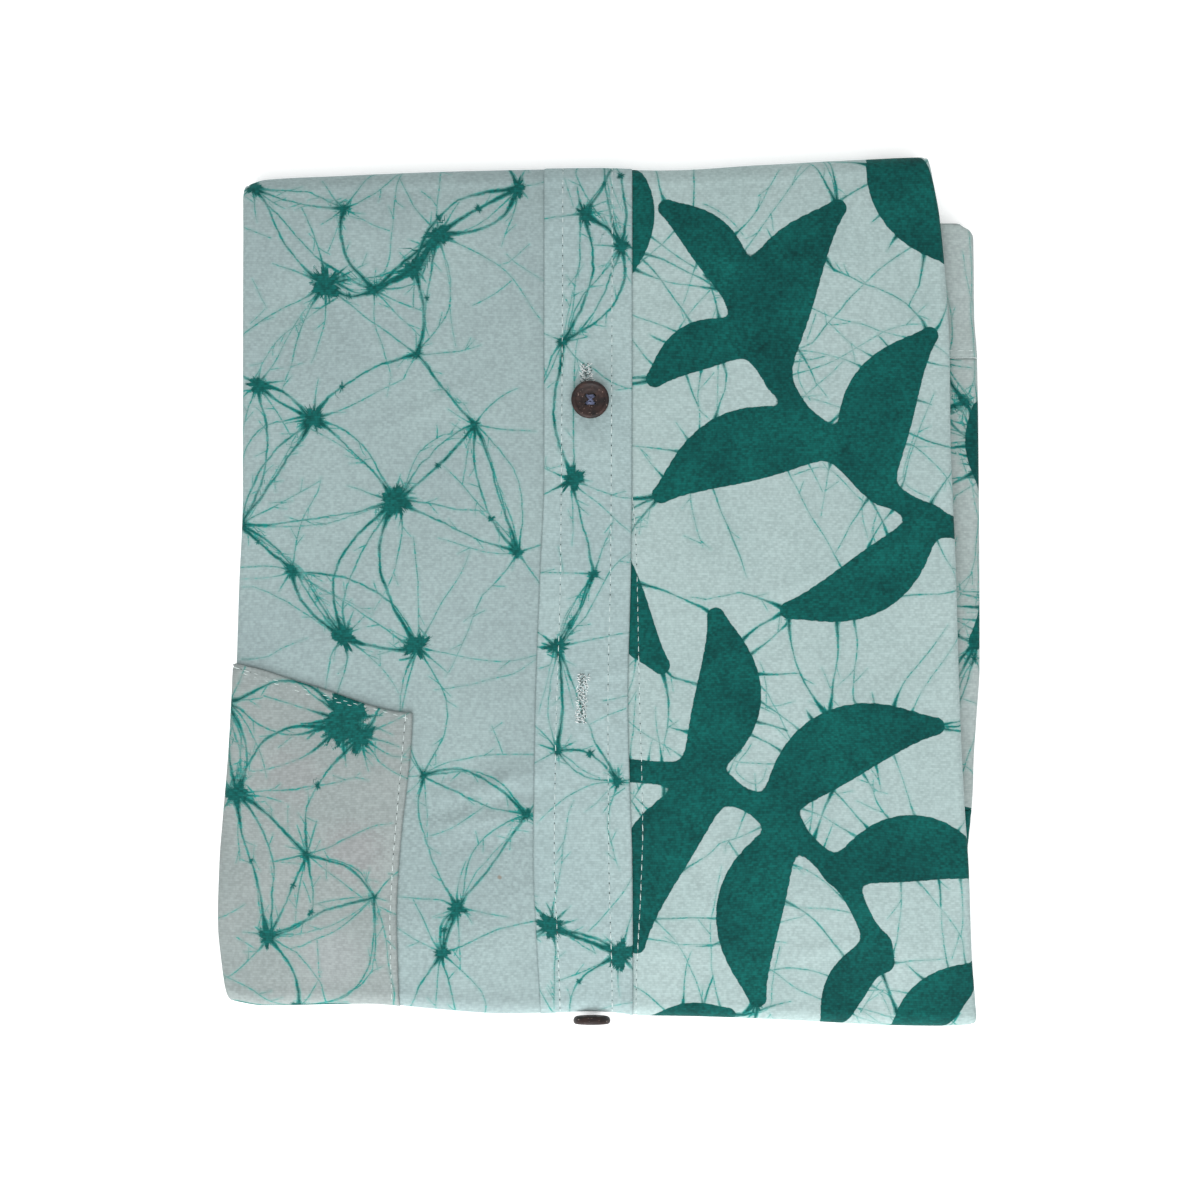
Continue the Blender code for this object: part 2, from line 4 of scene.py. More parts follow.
import bpy
import numpy as np
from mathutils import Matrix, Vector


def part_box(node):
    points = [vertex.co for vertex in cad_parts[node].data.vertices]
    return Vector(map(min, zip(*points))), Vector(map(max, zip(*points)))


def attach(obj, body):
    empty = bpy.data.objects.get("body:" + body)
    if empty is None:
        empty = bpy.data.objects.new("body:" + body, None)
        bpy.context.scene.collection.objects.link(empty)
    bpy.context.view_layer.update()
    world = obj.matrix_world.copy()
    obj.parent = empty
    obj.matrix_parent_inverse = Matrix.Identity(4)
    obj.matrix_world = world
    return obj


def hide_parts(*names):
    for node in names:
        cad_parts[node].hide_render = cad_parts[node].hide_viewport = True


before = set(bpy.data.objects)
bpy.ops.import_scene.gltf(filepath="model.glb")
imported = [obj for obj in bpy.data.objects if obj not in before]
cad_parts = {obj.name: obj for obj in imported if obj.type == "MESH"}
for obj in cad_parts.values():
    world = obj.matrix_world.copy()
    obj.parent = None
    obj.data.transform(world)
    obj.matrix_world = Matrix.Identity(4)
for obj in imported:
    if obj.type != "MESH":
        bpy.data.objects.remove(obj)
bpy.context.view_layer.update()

# A batik shirt folded in thirds, upside down. Sizes are millimetres until a mesh is made.

mm = 0.001

# how the flat cloth lies folded, as in the solids

fold = {
    "wall": 0.4,  # the cotton's thickness, a little over the real 0.3 mm, so that an edge shows
    "roll": 2.25,  # radius of the turned long edges
    "turnUnder": 18.0,  # how far the cloth goes on under such an edge
    "lowRadius": 5.5,  # radius of the folded end by the collar
    "highRadius": 6.5,  # radius of the folded end by the tail
    "nominalLow": -136.0,  # y of the tables' two ends, where the folded ends begin
    "nominalHigh": 134.0,
    "hemY": -59.0,  # where the tail part ends underneath
    "chestY": -93.3,  # where the chest part ends underneath
    "bandLift": 1.3,  # placket face above the fronts
    "bandRamp": 4.5,  # width of the slope up to it
}

runLengths = {"tail": 193, "high end": 20.4, "top": 270, "low end": 17.3, "chest": 43}  # along the cloth
# x of the lines along which the tables' y is read
readAt = {"left": -118.8, "right": 115.1, "tailRight": 120.5, "band": -18.4, "rows": -4.0, "underlap": 10.6}

topHeight = (  # y, z
    (-136.0, 11.0), (-128.0, 11.6), (-112.0, 13.0), (-86.0, 13.9), (-50.0, 14.4), (20.0, 14.6),
    (80.0, 14.5), (118.0, 14.3), (129.0, 13.6), (134.0, 13.0),
)
shoulderHeight = (  # y, z
    (-88.0, 2.4), (-80.0, 3.2), (-68.0, 6.1), (-61.0, 7.1), (0.0, 7.1), (122.0, 7.1),
)
leftEdge = (  # y, x
    (134.0, -117.9), (116.0, -117.5), (34.0, -117.5), (1.0, -118.8), (-24.0, -119.6), (-57.0, -121.4),
    (-74.0, -122.9), (-90.0, -124.2), (-111.0, -124.9), (-125.0, -123.9), (-137.0, -122.7),
)
rightEdge = (
    (144.0, 109.0), (123.0, 111.9), (101.0, 113.9), (79.0, 115.1), (51.0, 115.4), (9.0, 117.1),
    (-41.0, 118.6), (-71.0, 120.1), (-90.0, 121.4), (-120.0, 122.8), (-137.0, 124.4), (-144.0, 125.0),
)
tailRightEdge = ((138.0, 109.6), (110.0, 115.0), (60.0, 119.0), (-20.0, 120.5), (-59.0, 119.0))
shoulderRightEdge = (
    (122.0, 119.5), (120.0, 122.6), (117.5, 123.8), (92.0, 124.1), (75.0, 125.3), (50.0, 125.7),
    (-24.0, 126.1), (-41.0, 125.1), (-57.0, 124.1), (-74.0, 123.8), (-95.0, 122.7),
)
highFold = (  # x, y
    (-118.0, 135.2), (-111.0, 137.0), (-85.0, 138.3), (-45.0, 139.9), (0.0, 140.6), (20.0, 140.1),
    (54.0, 141.9), (86.0, 143.6), (108.0, 144.4), (126.0, 144.4),
)
lowFold = (
    (-126.0, -135.3), (-111.0, -137.3), (-78.0, -136.7), (-59.0, -138.3), (-32.0, -140.2),
    (-20.0, -140.0), (-12.0, -139.4), (-3.0, -139.1), (6.0, -139.6), (13.0, -140.8), (34.0, -141.2),
    (67.0, -142.6), (100.0, -144.2), (113.0, -144.4), (126.0, -143.9),
)
bandEdges = (  # y, left x, right x
    (145.0, -18.4, 10.6), (37.0, -18.4, 10.5), (10.0, -19.5, 10.2), (-36.0, -21.2, 9.2),
    (-66.0, -21.7, 9.9), (-88.0, -21.9, 10.6), (-110.0, -21.1, 10.8), (-145.0, -19.6, 10.9),
)
pocketBottom = ((-126.0, -22.3), (-118.0, -24.2), (-94.3, -30.9), (-61.4, -39.5))  # x, y
pocketSide = ((-39.5, -61.4), (-88.0, -65.8), (-108.0, -66.8), (-140.0, -66.3))  # y, x

creases = (  # x, y, direction in degrees, length, width, height of each soft ridge or trough
    (-42.0, -72.0, 35.0, 46.0, 9.0, 0.5),
    (1.0, -31.0, 80.0, 30.0, 8.0, 0.35),
    (-70.0, 72.0, 120.0, 70.0, 16.0, -0.35),
    (-62.0, 8.0, 20.0, 60.0, 14.0, 0.3),
    (62.0, 40.0, 100.0, 80.0, 15.0, 0.3),
    (48.0, -64.0, 60.0, 54.0, 12.0, -0.35),
    (84.0, -104.0, 25.0, 44.0, 11.0, 0.35),
)
fineCreases = (  # the same, smaller
    (-36.0, -66.0, 42.0, 26.0, 2.6, 0.22),
    (-30.0, -78.0, 30.0, 22.0, 2.2, 0.18),
    (-48.0, -60.0, 24.0, 30.0, 3.4, -0.16),
    (-33.0, -62.0, 14.0, 30.0, 2.4, 0.2),
    (-36.0, -68.5, 12.0, 34.0, 2.6, -0.22),
    (-34.0, -74.5, 8.0, 30.0, 2.2, 0.2),
    (-38.0, -82.0, 10.0, 28.0, 2.6, -0.16),
    (6.0, -26.0, 5.0, 12.0, 2.0, 0.14),
    (-8.0, -32.5, 172.0, 14.0, 2.2, -0.16),
    (-54.0, 62.0, 28.0, 26.0, 2.8, 0.14),
    (-40.0, 30.0, 60.0, 24.0, 3.0, -0.12),
    (-92.0, 96.0, 80.0, 28.0, 3.2, 0.13),
    (-88.0, 22.0, 100.0, 34.0, 3.4, -0.12),
    (-100.0, -62.0, 70.0, 24.0, 2.8, 0.14),
    (-84.0, -104.0, 110.0, 30.0, 3.4, 0.12),
    (-76.0, -86.0, 40.0, 20.0, 2.4, -0.12),
    (2.0, -42.0, 100.0, 18.0, 2.2, 0.16),
    (-8.0, 86.0, 10.0, 16.0, 2.6, -0.1),
    (46.0, 108.0, 160.0, 34.0, 3.2, 0.16),
    (80.0, 84.0, 70.0, 30.0, 3.0, -0.14),
    (34.0, 58.0, 95.0, 26.0, 2.8, 0.12),
    (66.0, 4.0, 20.0, 38.0, 3.6, 0.16),
    (96.0, -22.0, 60.0, 28.0, 3.0, -0.14),
    (30.0, -96.0, 120.0, 26.0, 2.8, 0.15),
    (72.0, -118.0, 10.0, 30.0, 3.0, 0.18),
    (104.0, -74.0, 85.0, 26.0, 2.6, 0.14),
)


def smoothCurve(table, position, column=1):
    # a smooth curve through the table's rows that never swings past them
    rows = sorted(table)
    keys = np.array([row[0] for row in rows], dtype=float)
    values = np.array([row[column] for row in rows], dtype=float)
    steps = np.diff(keys)
    slopes = np.diff(values) / steps
    tangents = np.zeros(len(keys))
    for i in range(1, len(keys) - 1):
        if slopes[i - 1] * slopes[i] > 0:
            before = 2 * steps[i] + steps[i - 1]
            after = steps[i] + 2 * steps[i - 1]
            tangents[i] = (before + after) / (before / slopes[i - 1] + after / slopes[i])
    place = np.clip(np.asarray(position, dtype=float), keys[0], keys[-1])
    index = np.clip(np.searchsorted(keys, place) - 1, 0, len(steps) - 1)
    step = steps[index]
    t = (place - keys[index]) / step
    return (
        values[index] * (1 + 2 * t) * (1 - t) ** 2
        + tangents[index] * step * t * (1 - t) ** 2
        + values[index + 1] * t * t * (3 - 2 * t)
        + tangents[index + 1] * step * t * t * (t - 1)
    )


def smoothStep(t):
    t = np.clip(t, 0.0, 1.0)
    return t * t * (3 - 2 * t)


def nominalFraction(y):
    return (y - fold["nominalLow"]) / (fold["nominalHigh"] - fold["nominalLow"])


def nominalY(t):
    return fold["nominalLow"] + t * (fold["nominalHigh"] - fold["nominalLow"])


def runY(x, t):
    low = smoothCurve(lowFold, x) + fold["lowRadius"]
    high = smoothCurve(highFold, x) - fold["highRadius"]
    return low + t * (high - low)


def fractionAt(x, y):
    low, high = float(runY(x, 0.0)), float(runY(x, 1.0))
    return (y - low) / (high - low)


def valueNoise(x, y, scale, seed):
    # smooth random heights from -1 to 1 on a square lattice
    rng = np.random.default_rng(seed)
    lattice = rng.uniform(-1, 1, (96, 96))
    u, v = np.asarray(x) / scale + 40.3, np.asarray(y) / scale + 40.7
    i, j = np.floor(u).astype(int), np.floor(v).astype(int)
    fu, fv = smoothStep(u - i), smoothStep(v - j)
    i, j = i % 95, j % 95
    return (
        lattice[i, j] * (1 - fu) * (1 - fv) + lattice[i + 1, j] * fu * (1 - fv)
        + lattice[i, j + 1] * (1 - fu) * fv + lattice[i + 1, j + 1] * fu * fv
    )


def ridges(table, x, y):
    height = np.zeros(np.broadcast(x, y).shape)
    for middleX, middleY, direction, length, width, rise in table:
        cosine, sine = math.cos(math.radians(direction)), math.sin(math.radians(direction))
        along = (x - middleX) * cosine + (y - middleY) * sine
        across = (y - middleY) * cosine - (x - middleX) * sine
        height = height + rise * np.exp(-((2 * along / length) ** 2) - (across / width) ** 2)
    return height


pressed = {
    "waves": ((0.26, 34.0, 11), (0.14, 13.0, 12), (0.05, 5.0, 13)),  # height, length, seed
    "creases": 1.7,  # how strongly the two tables of creases count
    "fineCreases": 2.4,
    "calm": (-3.2, 62.8, 130.0),  # x, y and square of the radius of the flat place under the upper button
}


def relief(x, y):
    # height of the waves and creases over the top
    waves = sum(rise * valueNoise(x, y, length, seed) for rise, length, seed in pressed["waves"])
    large, fine = ridges(creases, x, y), ridges(fineCreases, x, y)
    calmX, calmY, calmArea = pressed["calm"]
    calm = 1 - np.exp(-(((x - calmX) ** 2 + (y - calmY) ** 2) / calmArea) ** 2)
    return calm * (pressed["creases"] * large + pressed["fineCreases"] * fine + waves)


def placeOnFold(station, x, offset, shift=0.0):
    # points of one station's columns, and how far along the flat cloth they lie
    kind, t = station
    x = np.asarray(x, dtype=float)
    low, high = runY(x, 0.0), runY(x, 1.0)
    lowRadius, highRadius = fold["lowRadius"], fold["highRadius"]
    if kind == "top":
        y = low + t * (high - low)
        z = smoothCurve(topHeight, nominalY(t)) + relief(x, y) + offset
        return np.stack([x, y, z], 1), y
    if kind in ("tail", "chest"):
        y = low + t * (high - low)
        past = high + math.pi * highRadius + high - y
        along = past if kind == "tail" else low - math.pi * lowRadius - (y - low)
        return np.stack([x, y, shift - offset + 0 * x], 1), along
    underneath = 1 - smoothStep(t / (math.pi / 2))
    flatter = 1 - 0.72 * np.sin(t) ** 2  # rolled edges and the placket lie flatter round a folded end
    turned = offset * np.where(np.abs(offset) > 0.5, flatter, 1.0) - shift * underneath
    fade = smoothStep((t - 1.2) / 1.9)
    if kind == "high end":
        reach = highRadius + turned + relief(x, high) * fade
        points = [x, high + reach * np.sin(t), highRadius - reach * np.cos(t)]
        return np.stack(points, 1), high + highRadius * (math.pi - t) + 0 * x
    reach = lowRadius + turned + relief(x, low) * fade
    points = [x, low - reach * np.sin(t), lowRadius - reach * np.cos(t)]
    return np.stack(points, 1), low - lowRadius * (math.pi - t) + 0 * x


def stationY(station, x):
    kind, t = station
    if kind == "high end":
        return runY(x, 1.0) + fold["highRadius"] * np.sin(t)
    if kind == "low end":
        return runY(x, 0.0) - fold["lowRadius"] * np.sin(t)
    return runY(x, t)


def cornerPull(station):
    kind, t = station
    return 0.4 * np.sin(t) ** 2 if kind in ("high end", "low end") else 0.0


def leftEdgeX(station):
    kind, t = station
    tuck = 1.2 * smoothStep((1 - t) / 0.15) if kind == "tail" else 0.0
    return smoothCurve(leftEdge, stationY(station, readAt["left"])) + cornerPull(station) + tuck


def rightEdgeX(station):
    table, line = (tailRightEdge, "tailRight") if station[0] == "tail" else (rightEdge, "right")
    return smoothCurve(table, stationY(station, readAt[line])) - cornerPull(station)


def bandX(station):
    y = stationY(station, readAt["band"])
    return smoothCurve(bandEdges, y, 1), smoothCurve(bandEdges, y, 2)


def foldStations(topStep, endStep, underStep):
    # stations from the tail hem round the high end, over the top, round the low end, to the chest
    hem, chest = nominalFraction(fold["hemY"]), nominalFraction(fold["chestY"])
    runs = (
        ("tail", hem, 1, underStep), ("high end", 0, math.pi, endStep), ("top", 1, 0, topStep),
        ("low end", math.pi, 0, endStep),
    )
    stations = []
    for kind, start, end, step in runs:
        stations += [(kind, t) for t in np.linspace(start, end, int(runLengths[kind] / step) + 1)[:-1]]
    last = int(runLengths["chest"] / underStep)
    last += -(len(stations) + last) % 3  # the inner wall, of every third row, has to end with the outer one
    return stations + [("chest", t) for t in np.linspace(0, chest, last + 1)]


def rolledColumns(edge, side, segments, stubSteps, offset=0.0):
    # a turned long edge, from the panel round to its far end underneath: x, offset, flat x
    radius = fold["roll"]
    middle = edge - side * radius
    angle = math.pi * np.arange(1, segments + 1) / segments
    stub = fold["turnUnder"] * np.arange(1, stubSteps + 1) / stubSteps
    x = np.concatenate([middle + side * (radius + offset) * np.sin(angle), middle - side * stub])
    n = np.concatenate([(radius + offset) * np.cos(angle) - radius, 0 * stub - 2 * radius - offset])
    across = middle + side * np.concatenate([radius * angle, math.pi * radius + stub])
    return x, n, across


def joinColumns(*parts):
    return [np.concatenate([part[i] for part in parts]) for i in range(len(parts[0]))]


def gridNormals(grid):
    # outward unit vectors at a grid's points
    normal = np.cross(np.gradient(grid, axis=0), np.gradient(grid, axis=1))
    return normal / np.maximum(np.linalg.norm(normal, axis=2, keepdims=True), 1e-9)


def closedShell(name, grid, flat, thickness, fields=None):
    # outer grid, a coarser inner one from every third row and column, and the rims that join them
    rows, columns = grid.shape[:2]
    normals = gridNormals(grid)
    depth = np.broadcast_to(np.asarray(thickness, dtype=float), (rows, columns))[..., None]
    innerGrid = (grid - normals * depth)[::3, ::3]
    outer = np.arange(rows * columns).reshape(rows, columns)
    sparseShape = innerGrid.shape[:2]
    inner = rows * columns + np.arange(sparseShape[0] * sparseShape[1]).reshape(sparseShape)

    def quads(index, order):
        corners = (index[:-1, :-1], index[:-1, 1:], index[1:, 1:], index[1:, :-1])
        return np.stack([corners[k].ravel() for k in order], 1)

    rims = []
    borders = (
        (outer[0], inner[0], 1), (outer[-1], inner[-1], -1),
        (outer[:, 0], inner[:, 0], -1), (outer[:, -1], inner[:, -1], 1),
    )
    for dense, sparse, turn in borders:
        for k in range(len(sparse) - 1):
            rims.append([*dense[k * 3:k * 3 + 4], sparse[k + 1], sparse[k]][::turn])
    faces = [quads(outer, (0, 3, 2, 1)), quads(inner, (0, 1, 2, 3)), np.array(rims)]
    points = np.concatenate([grid.reshape(-1, 3), innerGrid.reshape(-1, 3)])
    uv = np.concatenate([flat.reshape(-1, 2), flat[::3, ::3].reshape(-1, 2)])
    spread = {}
    for key, values in (fields or {}).items():
        width = values.shape[2] if values.ndim == 3 else 1
        values = values.reshape(rows, columns, width)
        values = np.concatenate([values.reshape(-1, width), values[::3, ::3].reshape(-1, width)])
        spread[key] = values if width == 3 else values[:, 0]
    return meshObject(name, points, faces, uv, spread)


def meshObject(name, points, faceGroups, uv=None, fields=None):
    # faceGroups are integer arrays, one row for each face
    mesh = bpy.data.meshes.new(name)
    totals = np.concatenate([np.full(len(g), g.shape[1], dtype=np.int32) for g in faceGroups])
    corners = np.concatenate([np.asarray(g, dtype=np.int32).ravel() for g in faceGroups])
    mesh.vertices.add(len(points))
    mesh.vertices.foreach_set("co", (np.asarray(points) * mm).astype(np.float32).ravel())
    mesh.loops.add(len(corners))
    mesh.loops.foreach_set("vertex_index", corners)
    mesh.polygons.add(len(totals))
    starts = np.concatenate([[0], np.cumsum(totals)[:-1]])
    mesh.polygons.foreach_set("loop_start", starts.astype(np.int32))
    mesh.polygons.foreach_set("loop_total", totals)
    mesh.polygons.foreach_set("use_smooth", np.ones(len(totals), dtype=bool))
    mesh.update(calc_edges=True)
    if uv is not None:
        layer = mesh.uv_layers.new(name="cloth")
        layer.data.foreach_set("uv", np.asarray(uv, dtype=np.float32)[corners].ravel())
    for key, values in (fields or {}).items():
        values = np.asarray(values, dtype=np.float32)
        kind, field = ("FLOAT_VECTOR", "vector") if values.ndim == 2 else ("FLOAT", "value")
        mesh.attributes.new(key, kind, "POINT").data.foreach_set(field, values.ravel())
    made = bpy.data.objects.new(name, mesh)
    bpy.context.scene.collection.objects.link(made)
    return made


# dye: the strands and hubs of the crackle, and the large green leaves, all on the flat cloth

crack = {
    "step": 1.1,  # between the points of a strand
    "kinks": (0.03, 0.22),  # share of those points at which it kinks, and how sharply
    "twins": 0.55,  # share of the links that run double
    "knots": 0.4,  # share of the links with a small knot on them
    "shortRays": 0.25,  # share of a hub's rays that are short, and both kinds' lengths
    "rayLengths": ((4, 12), (12, 56)),
    "looseLengths": (10, 46),  # of the hairlines that leave no hub
    "slots": 4,  # strands that pass close by each other go in different slots, so each stays a clean line
}
leafEdge = {
    "tipStrands": (16, 70),  # lengths of the strong strands off a leaf's tip
    "shortStrands": 0.1,  # share of the outline's strands that are short, and both kinds' lengths
    "strandLengths": ((3, 9), (18, 70)),
    "echoInset": 1.7,  # of the hairlines that follow an outline
}


def wanderingStrand(rng, start, heading, length, bend):
    # a strand that curves gently and kinks a little as it goes
    step = crack["step"]
    share, sharpness = crack["kinks"]
    count = max(4, int(length / step))
    turn = rng.normal(0, bend) * step + rng.normal(0, 0.045, count)
    kinks = rng.random(count) < share
    turn[kinks] += rng.normal(0, sharpness, int(kinks.sum()))
    headings = heading + np.cumsum(turn)
    path = np.stack([np.cos(headings), np.sin(headings)], 1) * step
    return np.concatenate([[start], start + np.cumsum(path, axis=0)])


def linkingStrand(rng, start, end, bow):
    # a strand from one hub to another, bowed and swaying
    length = np.hypot(*(end - start))
    count = max(5, int(length / crack["step"]))
    t = np.linspace(0, 1, count + 1)[:, None]
    side = np.array([-(end - start)[1], (end - start)[0]]) / length
    sway = np.cumsum(np.cumsum(rng.normal(0, 0.045, count + 1)))[:, None]
    sway = sway - sway[0] - t * (sway[-1] - sway[0])
    kink = np.cumsum(rng.normal(0, 0.11, count + 1))[:, None]
    kink = kink - kink[0] - t * (kink[-1] - kink[0])
    bowed = bow * length * np.sin(math.pi * t) * (1 + 0.5 * (t - 0.5))
    return start + t * (end - start) + side * (bowed + sway + kink)


def taperedWidths(rng, path, base, flare, hair, bothEnds):
    # half widths: flared where a strand leaves its hub, uneven along it, a hair at its far end
    lengths = np.concatenate([[0], np.cumsum(np.hypot(*np.diff(path, axis=0).T))])
    whole = lengths[-1]
    spots = np.arange(0, whole + 8, 4.0)
    uneven = np.interp(lengths, spots, rng.uniform(0.6, 1.35, len(spots)))
    width = hair * uneven + flare * np.exp(-lengths / base)
    if bothEnds:
        return width + flare * np.exp(-(whole - lengths) / base)
    return width * np.clip((whole - lengths) / (0.35 * whole), 0, 1) ** 0.7


def cellsOf(path):
    return [(int(math.floor(x)), int(math.floor(y))) for x, y in path]


def addStrand(strands, taken, path, widths, free=4, joins=True):
    # a new crack stops where it meets an older one, as cracks in wax do
    cells = cellsOf(path)
    if joins:
        met = [i for i, cell in enumerate(cells) if i > free and cell in taken]
        if met:
            path, widths, cells = path[:met[0] + 1], widths[:met[0] + 1], cells[:met[0] + 1]
    if len(path) > 3:
        strands.append((path, widths))
        taken.update(cells)
    return path


def twigs(rng, strands, taken, path, every, longest, hair):
    # short side branches off a strand
    headings = np.arctan2(*np.diff(path, axis=0).T[::-1])
    for _ in range(rng.poisson(len(path) * crack["step"] / every)):
        if len(path) < 4:
            return
        i = rng.integers(1, len(path) - 1)
        heading = headings[i] + rng.choice((-1, 1)) * rng.uniform(0.3, 0.9) + rng.choice((0, math.pi))
        twig = wanderingStrand(rng, path[i], heading, rng.uniform(0.2, 1.0) * longest, 0.02)
        addStrand(strands, taken, twig, taperedWidths(rng, twig, 1.0, hair * 1.5, hair * 0.7, False), 3)


def crackle(hubs, seed, reach, extra, bounds):
    # strands between hubs, rays out from each, small knots and twigs on them, faint hairlines between
    rng = np.random.default_rng(seed)
    strands, taken, knots = [], set(), list(hubs)
    places = np.array([hub[:2] for hub in hubs] or [(999.0, 999.0)], dtype=float)
    for i, (x, y, size) in enumerate(hubs):
        distance = np.hypot(places[:, 0] - x, places[:, 1] - y)
        for rank, k in enumerate(k for k in np.argsort(distance)[1:6] if distance[k] < reach):
            if k < i and rng.random() < 0.6 or rng.random() < 0.14 * rank:
                continue
            small = min(size, hubs[k][2])
            for beside in range(1 + (rng.random() < crack["twins"]) + (small > 3.5)):
                spread = 0.25 * beside * size
                start, end = (places[j] + rng.normal(0, spread, 2) for j in (i, k))
                path = linkingStrand(rng, start, end, rng.normal(0, 0.12) + 0.05 * beside)
                flare = rng.uniform(0.45, 1.0) * (0.45 + 0.3 * small) / (1 + 1.2 * beside)
                hair = rng.uniform(0.13, 0.3) * (1 + 0.16 * small) / (1 + 0.7 * beside)
                widths = taperedWidths(rng, path, rng.uniform(3.0, 10.0), flare, hair, True)
                addStrand(strands, taken, path, widths, joins=False)
                twigs(rng, strands, taken, path, 13.0, 4.5, 0.13)
                if not beside and rng.random() < crack["knots"]:
                    spot = path[rng.integers(len(path) // 4, 3 * len(path) // 4)]
                    knots.append((spot[0], spot[1], rng.uniform(0.7, 1.3)))
    for x, y, size in hubs:
        rays = int(rng.integers(3, 6) + 1.2 * size)
        turn = rng.uniform(0, 2 * math.pi)
        for k in range(rays):
            heading = turn + 2 * math.pi * (k + rng.normal(0, 0.3)) / rays
            start = np.array([x, y]) + 0.3 * size * np.array([math.cos(heading), math.sin(heading)])
            length = rng.uniform(*crack["rayLengths"][rng.random() >= crack["shortRays"]])
            path = wanderingStrand(rng, start, heading, length, 0.012)
            base, flare = rng.uniform(1.2, 4.2), rng.uniform(0.2, 0.5) * (0.4 + 0.22 * size)
            widths = taperedWidths(rng, path, base, flare, rng.uniform(0.08, 0.2), False)
            path = addStrand(strands, taken, path, widths, int(4 + size), rng.random() < 0.8)
            twigs(rng, strands, taken, path, 18.0, 5.0, 0.1)
    low, high = np.array(bounds[:2]), np.array(bounds[2:])
    for _ in range(extra):
        start, heading = low + rng.random(2) * (high - low), rng.uniform(0, 2 * math.pi)
        path = wanderingStrand(rng, start, heading, rng.uniform(*crack["looseLengths"]), 0.01)
        widths = taperedWidths(rng, path, 3.0, 0.03, rng.uniform(0.05, 0.1), False)
        addStrand(strands, taken, path, widths, 2)
    return strands, knots


def assignSlots(strands, hubs):
    # each strand takes the slot whose strands come near it least, hubs aside
    size = 1.6
    taken = [dict() for _ in range(crack["slots"])]
    places = np.array([hub[:2] for hub in hubs] or [(999.0, 999.0)], dtype=float)
    slots = np.zeros(len(strands), dtype=int)
    for i in np.argsort([-len(path) for path, _ in strands]):
        path = strands[i][0]
        steps = path[:, None] - places[None]
        away = np.hypot(steps[..., 0], steps[..., 1]).min(axis=1)
        cells = set(cellsOf(path[away > 1.2] / size))
        around = [(a + da, b + db) for a, b in cells for da in (-1, 0, 1) for db in (-1, 0, 1)]
        slots[i] = int(np.argmin([sum(used.get(cell, 0) for cell in around) for used in taken]))
        for cell in cells:
            taken[slots[i]][cell] = taken[slots[i]].get(cell, 0) + 1
    return slots


def crackFields(flat, strands, hubs, seed, cell=0.9):
    # for every point and slot: the step to the strand that covers it most, and its half width; hubs too
    points = flat.reshape(-1, 2)
    best = np.full((crack["slots"], len(points)), 99.0)
    lines = np.tile(np.array([9.0, 9.0, 0.05]), (crack["slots"], len(points), 1))
    for slot, (path, widths) in zip(assignSlots(strands, hubs), strands):
        margin = widths.max() + 1.3 * cell
        near = (points > path.min(axis=0) - margin) & (points < path.max(axis=0) + margin)
        inside = np.nonzero(np.all(near, axis=1))[0]
        if not len(inside):
            continue
        start, run = path[:-1], np.diff(path, axis=0)
        away = points[inside][:, None] - start[None]
        t = np.clip((away * run).sum(2) / np.maximum((run ** 2).sum(1), 1e-6), 0, 1)
        steps = start + t[..., None] * run - points[inside][:, None]
        distance = np.hypot(steps[..., 0], steps[..., 1])
        nearest = distance.argmin(1)
        row = np.arange(len(inside))
        distance, steps, t = distance[row, nearest], steps[row, nearest], t[row, nearest]
        width = widths[:-1][nearest] * (1 - t) + widths[1:][nearest] * t
        covers = distance - width
        better = (covers < best[slot, inside]) & (covers < 1.3 * cell)
        chosen = inside[better]
        best[slot, chosen] = covers[better]
        lines[slot, chosen] = np.concatenate([steps[better], width[better][:, None]], axis=1)
    star = np.tile(np.array([30.0, 30.0, 1.0]), (len(points), 1))
    nearness = np.zeros(len(points))
    closest = np.full(len(points), 4.0)
    rng = np.random.default_rng(seed)
    for x, y, size in hubs:
        lean, stretch = rng.uniform(0, math.pi), rng.uniform(1.0, 1.45)
        dx, dy = points[:, 0] - x, points[:, 1] - y
        along = (dx * math.cos(lean) + dy * math.sin(lean)) / stretch
        across = (dy * math.cos(lean) - dx * math.sin(lean)) * stretch ** 0.5
        share = np.hypot(along, across) / size
        chosen = share < closest
        closest[chosen] = share[chosen]
        star[chosen] = np.stack([along, across, size + 0 * dx], 1)[chosen]
        nearness[chosen] = 1 - smoothStep((share[chosen] - 2.2) / 1.5)
    shape = flat.shape[:2]
    fields = {"crack%d" % (k + 1): line.reshape(shape + (3,)) for k, line in enumerate(lines)}
    fields["crackNear"] = np.clip(-best.min(axis=0), -2.0, 2.0).reshape(shape)
    return fields | {"hubStep": star.reshape(shape + (3,)), "hubNear": nearness.reshape(shape)}


def leaf(base, tip, breadth, bow, blunt=3.0, steps=17):
    # a curved leaf: circles x, y, radius from its stalk to its blunt tip
    base, tip = np.array(base, dtype=float), np.array(tip, dtype=float)
    run = tip - base
    side = np.array([-run[1], run[0]]) / np.hypot(*run)
    t = np.linspace(0, 1, steps)
    centres = base + t[:, None] * run + side * (bow * np.sin(math.pi * t))[:, None]
    radii = blunt + (breadth - blunt) * np.sin(math.pi * t ** 0.9) ** 1.2
    return [(*centre, radius) for centre, radius in zip(centres, radii)]


